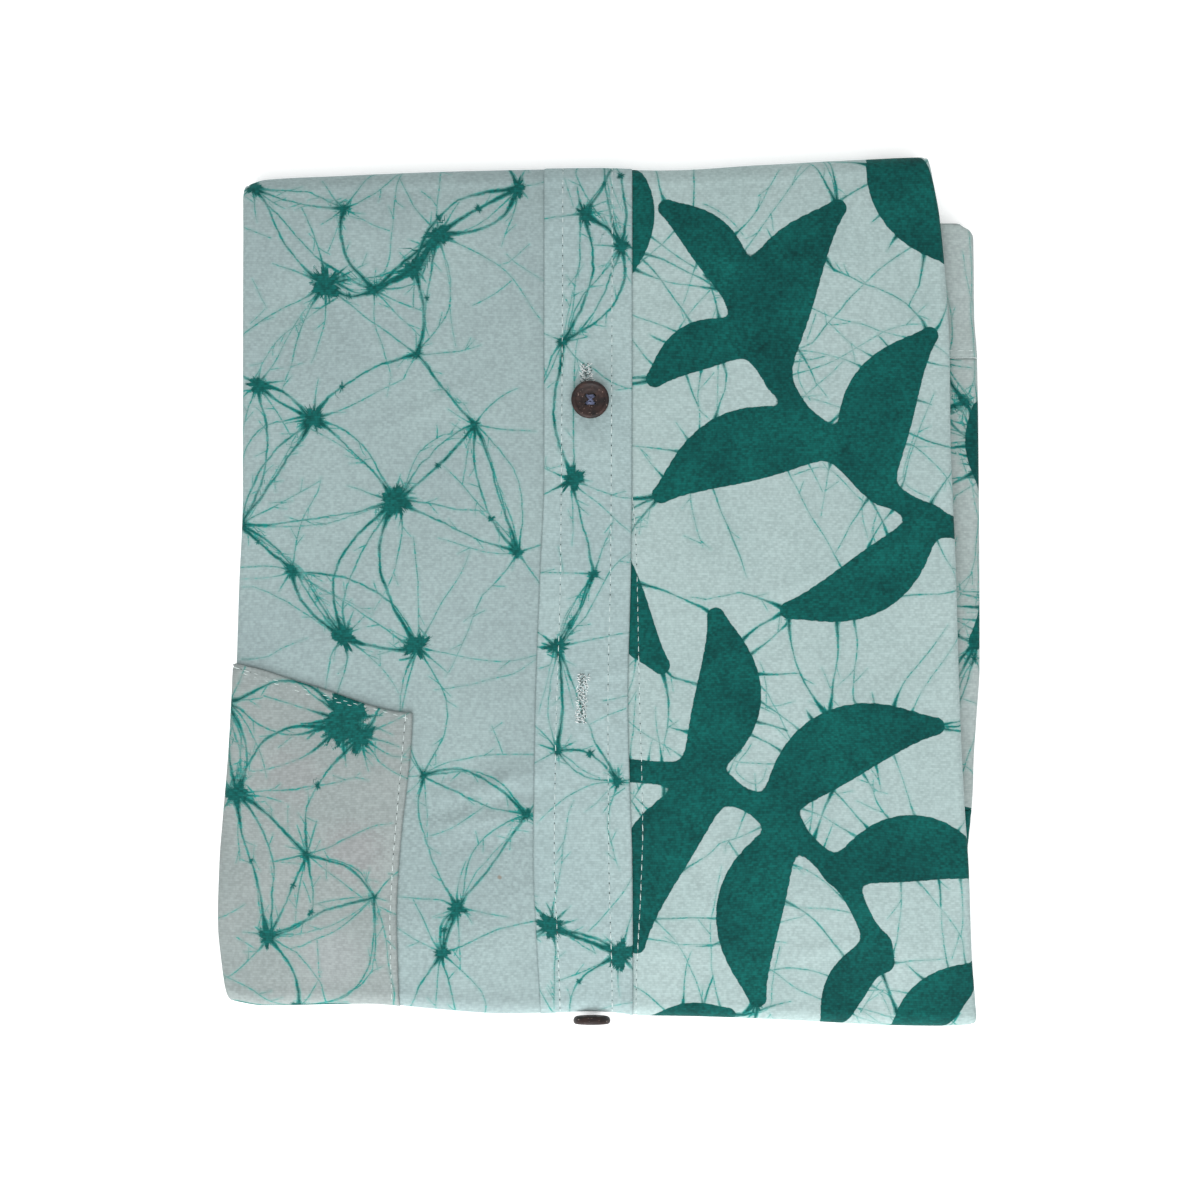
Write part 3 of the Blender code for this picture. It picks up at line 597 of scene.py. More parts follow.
def leafMap(sprays, low, high, step=0.75, blend=4.5):
    # millimetres inside (+) or outside (-) the sprays' smooth outline, on a lattice over the flat cloth
    x, y = np.arange(low[0], high[0], step), np.arange(low[1], high[1], step)
    points = np.stack(np.meshgrid(x, y, indexing="ij"), -1)
    inside = np.full(points.shape[:2], -60.0)
    for chains in sprays:
        whole = np.zeros(points.shape[:2])
        for chain in chains:
            own = np.full(points.shape[:2], 60.0)
            for (ax, ay, ar), (bx, by, br) in zip(chain[:-1], chain[1:]):
                run = np.array([bx - ax, by - ay])
                away = points - np.array([ax, ay])
                t = np.clip((away @ run) / (run @ run), 0, 1)
                reach = np.hypot(away[..., 0] - t * run[0], away[..., 1] - t * run[1])
                own = np.minimum(own, reach - (ar + t * (br - ar)))
            whole += np.exp(-np.clip(own, -20, 60) / blend * 2)
        inside = np.maximum(inside, np.log(whole) * blend / 2)
    return {"low": np.array(low), "step": step, "inside": inside}


def insideLeaves(drawn, points):
    # the map between its lattice points
    place = (np.asarray(points, dtype=float) - drawn["low"]) / drawn["step"]
    place = np.clip(place, 0, np.array(drawn["inside"].shape) - 1.001)
    i = place.astype(int)
    f = place - i
    corner = [drawn["inside"][i[..., 0] + a, i[..., 1] + b] for a in (0, 1) for b in (0, 1)]
    first = corner[0] * (1 - f[..., 1]) + corner[1] * f[..., 1]
    return first * (1 - f[..., 0]) + (corner[2] * (1 - f[..., 1]) + corner[3] * f[..., 1]) * f[..., 0]


def uphill(drawn, points, step=0.8):
    slope = [insideLeaves(drawn, points + shift) - insideLeaves(drawn, points - shift)
             for shift in (np.array([step, 0.0]), np.array([0.0, step]))]
    slope = np.stack(slope, -1)
    return slope / np.maximum(np.linalg.norm(slope, axis=-1, keepdims=True), 1e-6)


def strandFromLeaf(rng, drawn, start, heading, length):
    # from a leaf's outline outwards, up to the next leaf if it meets one
    path = wanderingStrand(rng, start, heading, length, 0.008)
    inside = insideLeaves(drawn, path) > 0
    first = int(np.argmin(inside))
    met = np.nonzero(inside[first:])[0]
    last = first + int(met[0]) + 1 if len(met) else len(path)
    return path[max(first - 1, 0):last], len(met) > 0


def edgeStrands(drawn, sprays, seed, spacing, echoes):
    # strong strands off the leaves' tips, finer ones off their outlines, and hairlines beside an outline
    rng = np.random.default_rng(seed)
    strands, taken, used = [], set(), []
    for stalk, tip, *_ in [row for _, *leaves in sprays for row in leaves]:
        run = np.subtract(tip, stalk)
        for _ in range(rng.integers(1, 4)):
            heading = math.atan2(run[1], run[0]) + rng.normal(0, 0.5)
            start = np.array(tip, dtype=float)
            path, met = strandFromLeaf(rng, drawn, start, heading, rng.uniform(*leafEdge["tipStrands"]))
            if len(path) < 5:
                continue
            base, flare, hair = rng.uniform(2.5, 7.0), rng.uniform(0.45, 1.0), rng.uniform(0.1, 0.3)
            addStrand(strands, taken, path, taperedWidths(rng, path, base, flare, hair, met), joins=False)
            twigs(rng, strands, taken, path, 16.0, 6.0, 0.12)
            used.append(path[0])
    size = np.array(drawn["inside"].shape) * drawn["step"]
    points = drawn["low"] + rng.random((30000, 2)) * size
    points = points[np.abs(insideLeaves(drawn, points)) < 2.0]
    for _ in range(3):
        points = points - uphill(drawn, points) * insideLeaves(drawn, points)[:, None]
    points = points[np.abs(insideLeaves(drawn, points)) < 0.2]
    # clustered, with bare stretches
    points = points[valueNoise(points[:, 0], points[:, 1], 19.0, seed) > -0.1]
    outward = -uphill(drawn, points)
    for point, away in zip(points, outward):
        if used and np.min(np.hypot(*(np.array(used) - point).T)) < rng.uniform(0.4, 1.8) * spacing:
            continue
        used.append(point)
        heading = math.atan2(away[1], away[0]) + rng.normal(0, 0.25)
        length = rng.uniform(*leafEdge["strandLengths"][rng.random() >= leafEdge["shortStrands"]])
        path, met = strandFromLeaf(rng, drawn, point + 0.7 * -away, heading, length)
        if len(path) < 4:
            continue
        flare, base = rng.uniform(0.3, 1.0) ** 1.7, rng.uniform(1.2, 4.5)
        widths = taperedWidths(rng, path, base, flare, 0.06 + 0.18 * rng.random() ** 2, met)
        path = addStrand(strands, taken, path, widths, 4, rng.random() < 0.75)
        twigs(rng, strands, taken, path, 34.0, 11.0, 0.1)
    for point in points[rng.permutation(len(points))[:echoes]]:
        path = [point - uphill(drawn, point) * leafEdge["echoInset"]]
        for _ in range(int(rng.uniform(8, 34))):
            slope = uphill(drawn, path[-1])
            drift = insideLeaves(drawn, path[-1]) + leafEdge["echoInset"]
            path.append(path[-1] + np.array([-slope[1], slope[0]]) - slope * drift * 0.5)
        path = np.array(path)
        addStrand(strands, taken, path, taperedWidths(rng, path, 3.0, 0.05, 0.09, True), joins=False)
    return strands


# materials


def linear(code, alpha=1.0):
    # an sRGB hex colour in linear light
    parts = [int(code[i:i + 2], 16) / 255 for i in (1, 3, 5)]
    return (*[p / 12.92 if p <= 0.04045 else ((p + 0.055) / 1.055) ** 2.4 for p in parts], alpha)


def addNode(tree, kind, inputs=None, out=0, **settings):
    # one node with its settings; an input is a plain value or another node's socket; out picks its output
    made = tree.nodes.new(kind)
    for key, value in settings.items():
        setattr(made, key, value)
    for key, value in (inputs or {}).items():
        if isinstance(value, bpy.types.NodeSocket):
            tree.links.new(value, made.inputs[key])
        else:
            made.inputs[key].default_value = value
    return made.outputs[out] if out is not None and len(made.outputs) else made


def newMaterial(name):
    made = bpy.data.materials.new(name)
    made.use_nodes = True
    made.node_tree.nodes.clear()
    return made, partial(addNode, made.node_tree)


dye = {
    "deep": "#04423f", "mid": "#07504b", "stain": "#022c2b",  # in the leaves
    "strand": "#22756f", "hub": "#0b504c", "seep": "#4a9a90",  # in the crackle
}
clothNoises = (  # name, features per millimetre across and along, detail, roughness
    ("sway", 0.012, 0.02, 1.0, 0.5), ("slubs", 0.06, 1.5, 1.0, 0.5), ("warp", 2.6, 0.5, 1.0, 0.5),
    ("fibres", 0.9, 2.6, 2.0, 0.6), ("cloudy", 0.028, 0.03, 4.0, 0.6),
    ("patches", 0.13, 0.13, 3.0, 0.6), ("pools", 0.045, 0.05, 5.0, 0.6),
    ("stains", 0.09, 0.06, 4.0, 0.7), ("blots", 0.26, 0.3, 4.0, 0.6),
)
rgba = {"out": 2, "data_type": "RGBA"}
eased = {"interpolation_type": "SMOOTHSTEP"}


def batikCotton(name, ground, crackled=True, waxed=False, seed=0.0, marksAndShading=()):
    # plain-woven cotton, wax-resist dyed: matt, ribbed across, dye crisp at wax edges, feathered in cracks
    made, node = newMaterial(name)
    uv = node("ShaderNodeUVMap", uv_map="cloth")
    noise = {}
    for k, (label, across, along, detail, roughness) in enumerate(clothNoises):
        scale, shift = (across, along, 1.0), (seed + 7 * k, seed, 0.0)
        place = node("ShaderNodeMapping", {0: uv, "Scale": scale, "Location": shift})
        given = {0: place, "Scale": 1.0, "Detail": detail, "Roughness": roughness}
        noise[label] = node("ShaderNodeTexNoise", given, noise_dimensions="2D")
    # rows of weft, lighter or darker every few millimetres, drawn 0.75 mm apart where real ones are 0.35
    flat = node("ShaderNodeSeparateXYZ", {0: uv}, None).outputs
    row = node("ShaderNodeMath", {0: flat[1], 1: 1.33, 2: seed}, operation="MULTIPLY_ADD")
    row = node("ShaderNodeMath", {0: noise["sway"], 1: 9.0, 2: row}, operation="MULTIPLY_ADD")
    number = node("ShaderNodeMath", {0: row}, operation="FLOOR")
    start = node("ShaderNodeMath", {0: number, 1: 17.37}, operation="MULTIPLY")
    across = node("ShaderNodeMath", {0: flat[0], 1: 0.6, 2: start}, operation="MULTIPLY_ADD")
    thread = node("ShaderNodeCombineXYZ", {0: across, 1: start})
    given = {0: thread, "Scale": 1.0, "Detail": 1.0, "Roughness": 0.6}
    dashes = node("ShaderNodeTexNoise", given, noise_dimensions="2D")
    dashes = node("ShaderNodeMapRange", {0: dashes, 1: 0.3, 2: 0.7})
    ribs = node("ShaderNodeMath", {0: row, 1: 0.5}, operation="PINGPONG")
    weave = node("ShaderNodeMath", {0: dashes, 1: 0.5}, operation="MULTIPLY")
    for pattern, share in ((ribs, 0.36), (noise["warp"], 0.2), (noise["slubs"], 0.12)):
        weave = node("ShaderNodeMath", {0: pattern, 1: share, 2: weave}, operation="MULTIPLY_ADD")
    shade = node("ShaderNodeMapRange", {0: weave, 1: 0.15, 2: 0.85, 3: 0.85, 4: 1.13})
    cloudy = node("ShaderNodeMapRange", {0: noise["cloudy"], 1: 0.3, 2: 0.72})
    colour = node("ShaderNodeMix", {0: cloudy, 6: linear(ground[0]), 7: linear(ground[1])}, **rgba)
    rough = node("ShaderNodeMath", {0: noise["fibres"], 1: 0.34, 2: -0.32}, operation="MULTIPLY_ADD")
    rough = node("ShaderNodeMath", {0: dashes, 1: 0.3, 2: rough}, operation="MULTIPLY_ADD")
    # soft discs of another hue: the cloth's own stains, and patches of painted shade and painted light
    for x, y, radius, hue, most in marksAndShading:
        away = node("ShaderNodeVectorMath", {0: uv, 1: (x, y, 0.0)}, 1, operation="DISTANCE")
        away = node("ShaderNodeMath", {0: rough, 1: radius, 2: away}, operation="MULTIPLY_ADD")
        share = node("ShaderNodeMapRange", {0: away, 1: radius, 2: 0.3 * radius, 3: 0.0, 4: most}, **eased)
        colour = node("ShaderNodeMix", {0: share, 6: colour, 7: linear(hue)}, **rgba)
    if crackled:
        cover = -9.0
        for k in range(crack["slots"]):
            line = node("ShaderNodeAttribute", out=1, attribute_name="crack%d" % (k + 1))
            away = node("ShaderNodeVectorMath", {0: line, 1: (1.0, 1.0, 0.0)}, operation="MULTIPLY")
            away = node("ShaderNodeVectorMath", {0: away}, 1, operation="LENGTH")
            width = node("ShaderNodeSeparateXYZ", {0: line}, 2)
            into = node("ShaderNodeMath", {0: width, 1: away}, operation="SUBTRACT")
            cover = node("ShaderNodeMath", {0: cover, 1: into}, operation="MAXIMUM")
        near = node("ShaderNodeAttribute", out=2, attribute_name="crackNear")
        limit = node("ShaderNodeMath", {0: near, 1: 0.55}, operation="ADD")
        cover = node("ShaderNodeMath", {0: cover, 1: limit}, operation="MINIMUM")
        # a hub: an uneven blot with fine streaks all round it
        hubStep = node("ShaderNodeAttribute", out=1, attribute_name="hubStep")
        hubNear = node("ShaderNodeAttribute", out=2, attribute_name="hubNear")
        size = node("ShaderNodeSeparateXYZ", {0: hubStep}, 2)
        away = node("ShaderNodeVectorMath", {0: hubStep, 1: (1.0, 1.0, 0.0)}, operation="MULTIPLY")
        reach = node("ShaderNodeVectorMath", {0: away}, 1, operation="LENGTH")
        heading = node("ShaderNodeVectorMath", {0: away}, operation="NORMALIZE")
        turn = node("ShaderNodeMath", {0: size, 1: 7.3}, operation="MULTIPLY")
        turn = node("ShaderNodeMath", {0: reach, 1: 0.04, 2: turn}, operation="MULTIPLY_ADD")
        turn = node("ShaderNodeCombineXYZ", {2: turn})
        heading = node("ShaderNodeVectorMath", {0: heading, 1: turn}, operation="ADD")
        lobes = node("ShaderNodeTexNoise", {0: heading, "Scale": 1.7, "Detail": 3.0})
        lobes = node("ShaderNodeMapRange", {0: lobes, 1: 0.36, 2: 0.64, 3: 0.6, 4: 1.4})
        blot = node("ShaderNodeMath", {0: noise["blots"], 1: 0.5, 2: -0.25}, operation="MULTIPLY_ADD")
        blot = node("ShaderNodeMath", {0: blot, 1: lobes}, operation="ADD")
        streaks = node("ShaderNodeTexNoise", {0: heading, "Scale": 20.0, "Detail": 1.0})
        streaks = node("ShaderNodeMapRange", {0: streaks, 1: 0.52, 2: 0.76, 3: 0.0, 4: 0.32})
        blot = node("ShaderNodeMath", {0: blot, 1: streaks}, operation="ADD")
        star = node("ShaderNodeMath", {0: blot, 1: size}, operation="MULTIPLY")
        star = node("ShaderNodeMath", {0: star, 1: reach}, operation="SUBTRACT")
        star = node("ShaderNodeMath", {0: rough, 1: 1.5, 2: star}, operation="MULTIPLY_ADD")
        hub = node("ShaderNodeMapRange", {0: star, 1: -0.4, 2: 0.5}, **eased)
        hub = node("ShaderNodeMath", {0: hub, 1: hubNear}, operation="MULTIPLY")
        # strands thicken into the hub they leave
        share = node("ShaderNodeMath", {0: reach, 1: size}, operation="DIVIDE")
        swell = node("ShaderNodeMapRange", {0: share, 1: 0.8, 2: 2.4, 3: 0.1, 4: 0.0}, **eased)
        swell = node("ShaderNodeMath", {0: swell, 1: size}, operation="MULTIPLY")
        swell = node("ShaderNodeMath", {0: swell, 1: hubNear, 2: cover}, operation="MULTIPLY_ADD")
        ragged = node("ShaderNodeMath", {0: swell, 1: rough}, operation="ADD")
        line = node("ShaderNodeMapRange", {0: ragged, 1: -0.17, 2: 0.2})
        thick = node("ShaderNodeMapRange", {0: swell, 1: 0.1, 2: 0.6})
        patchy = node("ShaderNodeMapRange", {0: noise["patches"], 1: 0.3, 2: 0.6, 3: 0.6, 4: 1.0})
        patchy = node("ShaderNodeMath", {0: patchy, 1: thick}, operation="MAXIMUM")
        line = node("ShaderNodeMath", {0: line, 1: patchy}, operation="MULTIPLY")
        seep = node("ShaderNodeMapRange", {0: near, 1: -1.2, 2: 0.3, 3: 0.0, 4: 0.24}, **eased)
        seep = node("ShaderNodeMath", {0: seep, 1: patchy}, operation="MULTIPLY")
        colour = node("ShaderNodeMix", {0: seep, 6: colour, 7: linear(dye["seep"])}, **rgba)
        deep = node("ShaderNodeMath", {0: hub, 1: thick}, operation="MAXIMUM")
        inks = {0: deep, 6: linear(dye["strand"]), 7: linear(dye["hub"])}
        inked = node("ShaderNodeMix", inks, **rgba)
        amount = node("ShaderNodeMath", {0: line, 1: hub}, operation="MAXIMUM")
        colour = node("ShaderNodeMix", {0: amount, 6: colour, 7: inked}, **rgba)
        deepShade = node("ShaderNodeMapRange", {0: weave, 1: 0.15, 2: 0.85, 3: 0.6, 4: 1.42})
        shade = node("ShaderNodeMix", {0: amount, 2: shade, 3: deepShade})
    if waxed:
        edge = node("ShaderNodeAttribute", out=2, attribute_name="waxEdge")
        fuzzy = node("ShaderNodeMath", {0: rough, 1: 0.55, 2: edge}, operation="MULTIPLY_ADD")
        inside = node("ShaderNodeMapRange", {0: fuzzy, 1: -0.14, 2: 0.14}, **eased)
        pooled = node("ShaderNodeMapRange", {0: noise["pools"], 1: 0.35, 2: 0.68})
        greens = {0: pooled, 6: linear(dye["deep"]), 7: linear(dye["mid"])}
        green = node("ShaderNodeMix", greens, **rgba)
        stain = node("ShaderNodeMapRange", {0: noise["stains"], 1: 0.6, 2: 0.76, 3: 0.0, 4: 0.6})
        # dye gathers against the wax
        rim = node("ShaderNodeMapRange", {0: edge, 1: 1.2, 2: 0.1, 3: 0.0, 4: 0.06})
        stain = node("ShaderNodeMath", {0: stain, 1: rim}, operation="MAXIMUM")
        green = node("ShaderNodeMix", {0: stain, 6: green, 7: linear(dye["stain"])}, **rgba)
        colour = node("ShaderNodeMix", {0: inside, 6: colour, 7: green}, **rgba)
        deepShade = node("ShaderNodeMapRange", {0: weave, 1: 0.15, 2: 0.85, 3: 0.64, 4: 1.38})
        shade = node("ShaderNodeMix", {0: inside, 2: shade, 3: deepShade})
    colour = node("ShaderNodeMix", {0: 1.0, 6: colour, 7: shade}, **rgba, blend_type="MULTIPLY")
    bump = node("ShaderNodeBump", {"Strength": 0.5, "Distance": 0.0001, "Height": weave})
    shader = node("ShaderNodeBsdfPrincipled", {
        "Base Color": colour, "Normal": bump, "Roughness": 0.9, "IOR": 1.47, "Specular IOR Level": 0.16,
        "Sheen Weight": 0.02, "Sheen Roughness": 0.5,
    })
    node("ShaderNodeOutputMaterial", {"Surface": shader})
    return made


def finishPiece(piece, material, nodes=()):
    # its material, the body it rides, and the solids it takes the place of
    piece.data.materials.append(material)
    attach(piece, "root")
    if nodes:
        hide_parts(*nodes)
    return piece


# camera, light and floor

studio = {
    "lamps": (  # name, place, size, watts
        ("key", (0.1, -0.8, 0.95), 1.6, 17.0), ("low_light", (-0.4, -1.5, 0.45), 0.7, 17.0),
        ("back_light", (0.1, 2.2, 0.9), 2.4, 16.0),
    ),
    "fill": 0.6,
    "cameraHeight": 0.561,
    "cameraY": -0.0026,
    "sweepHalf": 3000.0,  # half the paper's width, in millimetres
    "glow": 0.22,
}

camera = bpy.data.objects.new("camera", bpy.data.cameras.new("camera"))
camera.data.lens, camera.data.sensor_width = 50.0, 36.0
camera.location = (0.0, studio["cameraY"], studio["cameraHeight"])
bpy.context.scene.collection.objects.link(camera)
bpy.context.scene.camera = camera
bpy.context.scene.view_settings.view_transform = "Standard"

for name, place, size, power in studio["lamps"]:
    lamp = bpy.data.lights.new(name, "AREA")
    lamp.size, lamp.energy = size, power
    lampObject = bpy.data.objects.new(name, lamp)
    lampObject.location = place
    lampObject.rotation_mode = "QUATERNION"
    lampObject.rotation_quaternion = lampObject.location.to_track_quat("Z", "Y")
    bpy.context.scene.collection.objects.link(lampObject)

world = bpy.data.worlds.new("studio")
bpy.context.scene.world = world
world.use_nodes = True
world.node_tree.nodes["Background"].inputs["Color"].default_value = (1.0, 1.0, 1.0, 1.0)
world.node_tree.nodes["Background"].inputs["Strength"].default_value = studio["fill"]

# matt white paper, with a faint glow of its own that keeps it pale round the cloth
paper, node = newMaterial("white_paper_sweep")
paperShader = node("ShaderNodeBsdfPrincipled", {
    "Base Color": (0.97, 0.97, 0.97, 1.0), "Roughness": 0.9, "Specular IOR Level": 0.1,
    "Emission Color": (1.0, 1.0, 1.0, 1.0), "Emission Strength": studio["glow"],
})
node("ShaderNodeOutputMaterial", {"Surface": paperShader})
floorGrid = studio["sweepHalf"] * np.array([[-1, -1, 0], [1, -1, 0], [1, 1, 0], [-1, 1, 0]])
floor = meshObject("floor", floorGrid, [np.array([[0, 1, 2, 3]])])
floor.data.materials.append(paper)
print("studio ready")

# the shirt's cottons, faint marks on them, and patches of painted shade and painted light

pale = ("#899a9b", "#8fa1a1")
leftMarksAndShade = (
    # a brown spot, a broad disc of painted shade right of the pocket, and a faint greyer patch up by the
    # top
    (-33.0, -93.7, 1.0, "#7d5a3c", 0.75), (-50.0, -92.0, 34.0, "#7f8f90", 0.4),
    (-96.0, 84.0, 16.0, "#839494", 0.35),
)
pocketMarksAndLight = (
    # a pinkish stain, a greyer patch, and a paler disc of painted light near the bottom fold, where the
    # cloth rolls towards the lamps
    (-81.0, -85.0, 13.0, "#888587", 0.4), (-100.0, -60.0, 12.0, "#8b8c8d", 0.4),
    (-88.0, -120.0, 14.0, "#93999a", 0.5),
)
crackledCotton = batikCotton("crackled_batik_cotton", pale, marksAndShading=leftMarksAndShade)
dyedCotton = batikCotton("dyed_batik_cotton", ("#93a6a5", "#9badac"), waxed=True, seed=40.0)
placketCotton = batikCotton("placket_batik_cotton", ("#8ea1a2", "#94a7a7"), seed=80.0)
pocketCotton = batikCotton("pocket_batik_cotton", ("#858f8e", "#8d9594"), seed=120.0, marksAndShading=pocketMarksAndLight)
foldedCotton = batikCotton("folded_batik_cotton", pale, crackled=False, seed=160.0)

# the left front, pale and crackled

leftFront = {
    "columns": (6, 10, 143),  # across the part turned under, the roll and the panel
    "steps": (0.74, 0.8, 2.3),  # along the top, round the ends and underneath
    "underBand": 6.0,  # how far it goes on under the placket
    "crackle": {"seed": 4, "reach": 56.0, "extra": 36, "bounds": (-118, -180, -14, 340)},
    "hubs": (  # x, y and size of each blot, on the flat cloth
        (-114, 133, 2.2), (-90, 101, 4.2), (-74, 99, 1.8), (-61, 106, 2.7), (-53, 117, 3.1),
        (-84, 126, 1.8), (-27, 133, 2.4), (-112, 68, 2.7), (-94, 57, 3.4), (-67, 30, 3.8), (-27, 13, 1.8),
        (-101, 7, 1.9), (-84, -15, 3.1), (-60, -18, 3.3), (-47, -104, 2.7), (-52, -119, 2.2),
        (-24, -73, 1.5), (-41, 55, 1.4), (-118, 22, 1.8), (-60, 78, 1.4), (-58, -60, 1.4),
        (-110, 168, 2.4), (-62, 176, 2.9), (-88, 205, 3.4), (-40, 212, 2.2), (-108, 246, 2.5),
        (-66, 258, 3.6), (-34, 262, 2.0), (-94, 296, 3.1), (-50, 308, 2.7), (-112, 334, 2.2),
        (-72, 342, 3.3), (-34, 338, 1.8), (-60, -166, 2.5), (-98, -178, 2.7), (-34, -188, 2.0),
    ),
}


def leftFrontColumns(station):
    stubSteps, rollSteps, panelSteps = leftFront["columns"]
    edge = leftEdgeX(station)
    bandLeft, _ = bandX(station)
    x, n, across = rolledColumns(edge, -1, rollSteps, stubSteps)
    panel = np.linspace(edge + fold["roll"], bandLeft + leftFront["underBand"], panelSteps + 1)
    x, n, across = joinColumns((x[::-1], n[::-1], across[::-1]), (panel, 0 * panel, panel))
    lift = fold["bandLift"] * smoothStep((x - bandLeft + fold["bandRamp"]) / fold["bandRamp"])
    return x, n, lift, across


def sweepCloth(stations, columnsOf):
    points, flat = [], []
    for station in stations:
        x, offset, shift, across = columnsOf(station)
        placed, along = placeOnFold(station, x, offset, shift)
        points.append(placed)
        flat.append(np.stack([across, along], 1))
    return np.array(points), np.array(flat)


stations = foldStations(*leftFront["steps"])
grid, flat = sweepCloth(stations, leftFrontColumns)
strands, blots = crackle(leftFront["hubs"], **leftFront["crackle"])
fields = crackFields(flat, strands, blots, seed=5)
leftCloth = closedShell("left_front_cloth", grid, flat, fold["wall"], fields)
finishPiece(leftCloth, crackledCotton, ["left_front"])
print("left front", grid.shape, len(strands), "strands")

# the right front, with the large green leaves

rightFront = {
    "columns": (146, 10, 6),  # across the panel, the roll and the part turned under
    "steps": (0.76, 0.8, 2.3),
    "underBand": 5.0,
    "dropsUnder": (6.5, 5.5),  # its slope down under the placket: how far from the placket's edge, width
    "rises": (0.3, 4.2),  # its slope down from the placket to the flat part: the same
    "drawnIn": (0.16, 0.9),  # by its stitches: depth, width
    "drawnOver": ((-4.0, -214.0), (150.0, 352.0)),  # low and high corner, on the flat cloth
    "edgeStrands": {"seed": 21, "spacing": 10.0, "echoes": 16},
    # each spray: its stem, x, y, radius, and its leaves, stalk, tip, half breadth, bow
    "sprays": (
        (((134, 18, 4), (112, 22, 3.4), (88, 36, 3.2), (66, 58, 3), (50, 84, 2.6), (42, 104, 2.4)),
         ((92, 33), (108, 84), 12, 9), ((76, 48), (20, 32), 12, -8), ((58, 70), (78, 126), 12, 9),
         ((50, 82), (18, 70), 8, -5), ((45, 98), (22, 126), 8, -4), ((108, 24), (62, -6), 10, 7)),
        (((2, -58, 4), (30, -60, 3.4), (56, -72, 3.2), (80, -94, 3), (94, -122, 2.6)),
         ((30, -60), (38, -8), 11, -8), ((56, -72), (110, -44), 12, 9), ((78, -92), (128, -92), 11, 8),
         ((40, -64), (12, -116), 11, -9), ((62, -77), (52, -134), 11, -8), ((92, -116), (76, -146), 7, -3)),
        (((4, 146, 3), (0, 150, 3)), ((4, 146), (6, 102), 8, 5)),
        (((96, 158, 3), (90, 162, 3)), ((96, 158), (120, 108), 11, -8)),
        (((2, 20, 3), (-2, 24, 3)), ((2, 20), (20, -24), 9, -5)),
        (((112, -156, 3), (108, -160, 3)), ((100, -156), (126, -124), 9, 5)),
        (((10, -152, 3), (6, -154, 3)), ((14, -156), (42, -140), 8, 4)),
        (((30, 180, 4), (52, 196, 4), (84, 200, 4)),
         ((40, 186), (20, 230), 11, 8), ((62, 198), (66, 244), 11, -8), ((84, 200), (124, 222), 11, 8),
         ((60, 196), (84, 164), 9, -6)),
        (((134, 262, 5), (100, 268, 4), (70, 284, 4)),
         ((104, 268), (82, 236), 9, 6), ((84, 274), (30, 262), 12, 9), ((74, 282), (42, 316), 11, -8),
         ((104, 270), (118, 316), 12, 8)),
        (((20, 336, 4), (50, 340, 4)), ((50, 340), (92, 330), 11, 7)),
        (((16, -176, 4), (40, -184, 4)),
         ((40, -184), (84, -176), 10, -7), ((110, -196), (124, -168), 9, 5)),
    ),
    "underlapRow": (  # y, x of the stitch row beside the placket
        (145.0, 8.8), (45.0, 9.0), (30.0, 10.7), (16.0, 11.8), (-32.0, 12.9), (-78.5, 14.0),
        (-95.0, 13.5), (-134.6, 11.9),
    ),
}


def drawLeaves(piece):
    # the map of a piece's sprays, and the strands off them
    sprays = [[stem] + [leaf(*row) for row in leaves] for stem, *leaves in piece["sprays"]]
    drawn = leafMap(sprays, *piece["drawnOver"])
    return drawn, edgeStrands(drawn, piece["sprays"], **piece["edgeStrands"])


def underlapX(station):
    return smoothCurve(rightFront["underlapRow"], stationY(station, readAt["underlap"]))


def rightFrontColumns(station):
    panelSteps, rollSteps, stubSteps = rightFront["columns"]
    edge = rightEdgeX(station)
    _, bandRight = bandX(station)
    panel = np.linspace(bandRight - rightFront["underBand"], edge - fold["roll"], panelSteps + 1)
    inset, slope = rightFront["dropsUnder"]
    gap, ramp = rightFront["rises"]
    depth, width = rightFront["drawnIn"]
    below = -fold["bandLift"] * (1 - smoothStep((panel - bandRight + inset) / slope))
    below = below - depth * np.exp(-((panel - underlapX(station)) / width) ** 2)
    x, n, across = joinColumns((panel, below, panel), rolledColumns(edge, 1, rollSteps, stubSteps))
    return x, n, fold["bandLift"] * (1 - smoothStep((x - bandRight - gap) / ramp)), across


stations = foldStations(*rightFront["steps"])
grid, flat = sweepCloth(stations, rightFrontColumns)
drawn, strands = drawLeaves(rightFront)
fields = crackFields(flat, strands, (), seed=6)
fields["waxEdge"] = np.clip(insideLeaves(drawn, flat), -6, 6)
rightCloth = closedShell("right_front_cloth", grid, flat, fold["wall"], fields)
finishPiece(rightCloth, dyedCotton, ["right_front"])
print("right front", grid.shape, len(strands), "strands")

# the placket band, sewn on the left front

placket = {
    "columns": 51,
    "steps": (0.7, 0.8, 1.8),
    "outer": 0.95,  # its face and its underside above the fronts' own level
    "inner": 0.25,
    "rim": (0.4, 0.7),  # how far its folded edges round off: down, across
    "drawnIn": (0.15, 0.05, 3.2, 0.9),  # by its stitches: depth, sway, pitch, width
    "puckers": (0.1, 3.4, 31),  # height, length, seed
    "leftRow": (  # y, x
        (145.0, -12.2), (10.0, -12.9), (-48.8, -14.5), (-88.0, -15.0), (-115.0, -13.9), (-138.0, -13.2),
    ),
    "rightRow": ((145.0, 4.0), (10.6, 3.5), (-36.0, 2.6), (-88.0, 2.9), (-135.0, 4.0)),
    "crackle": {"seed": 31, "reach": 50.0, "extra": 16, "bounds": (-20, -180, 12, 340)},
    "hubs": (
        (-5, 124, 2.4), (7, 113, 2.2), (-9, 37, 3.1), (-14, -18, 2.7), (-16, -109, 3.6), (7, -119, 3.8),
        (-12, 82, 1.7), (6, -62, 1.8), (-2, 6, 1.4), (-14, -52, 1.4), (4, 160, 2.4), (-10, 190, 2.0),
        (2, 226, 2.7), (-12, 262, 2.4), (4, 300, 2.5), (-8, 330, 2.2), (-4, -160, 2.4), (-14, -186, 2.2),
    ),
}


def rowX(table, station):
    return smoothCurve(table, stationY(station, readAt["rows"]))


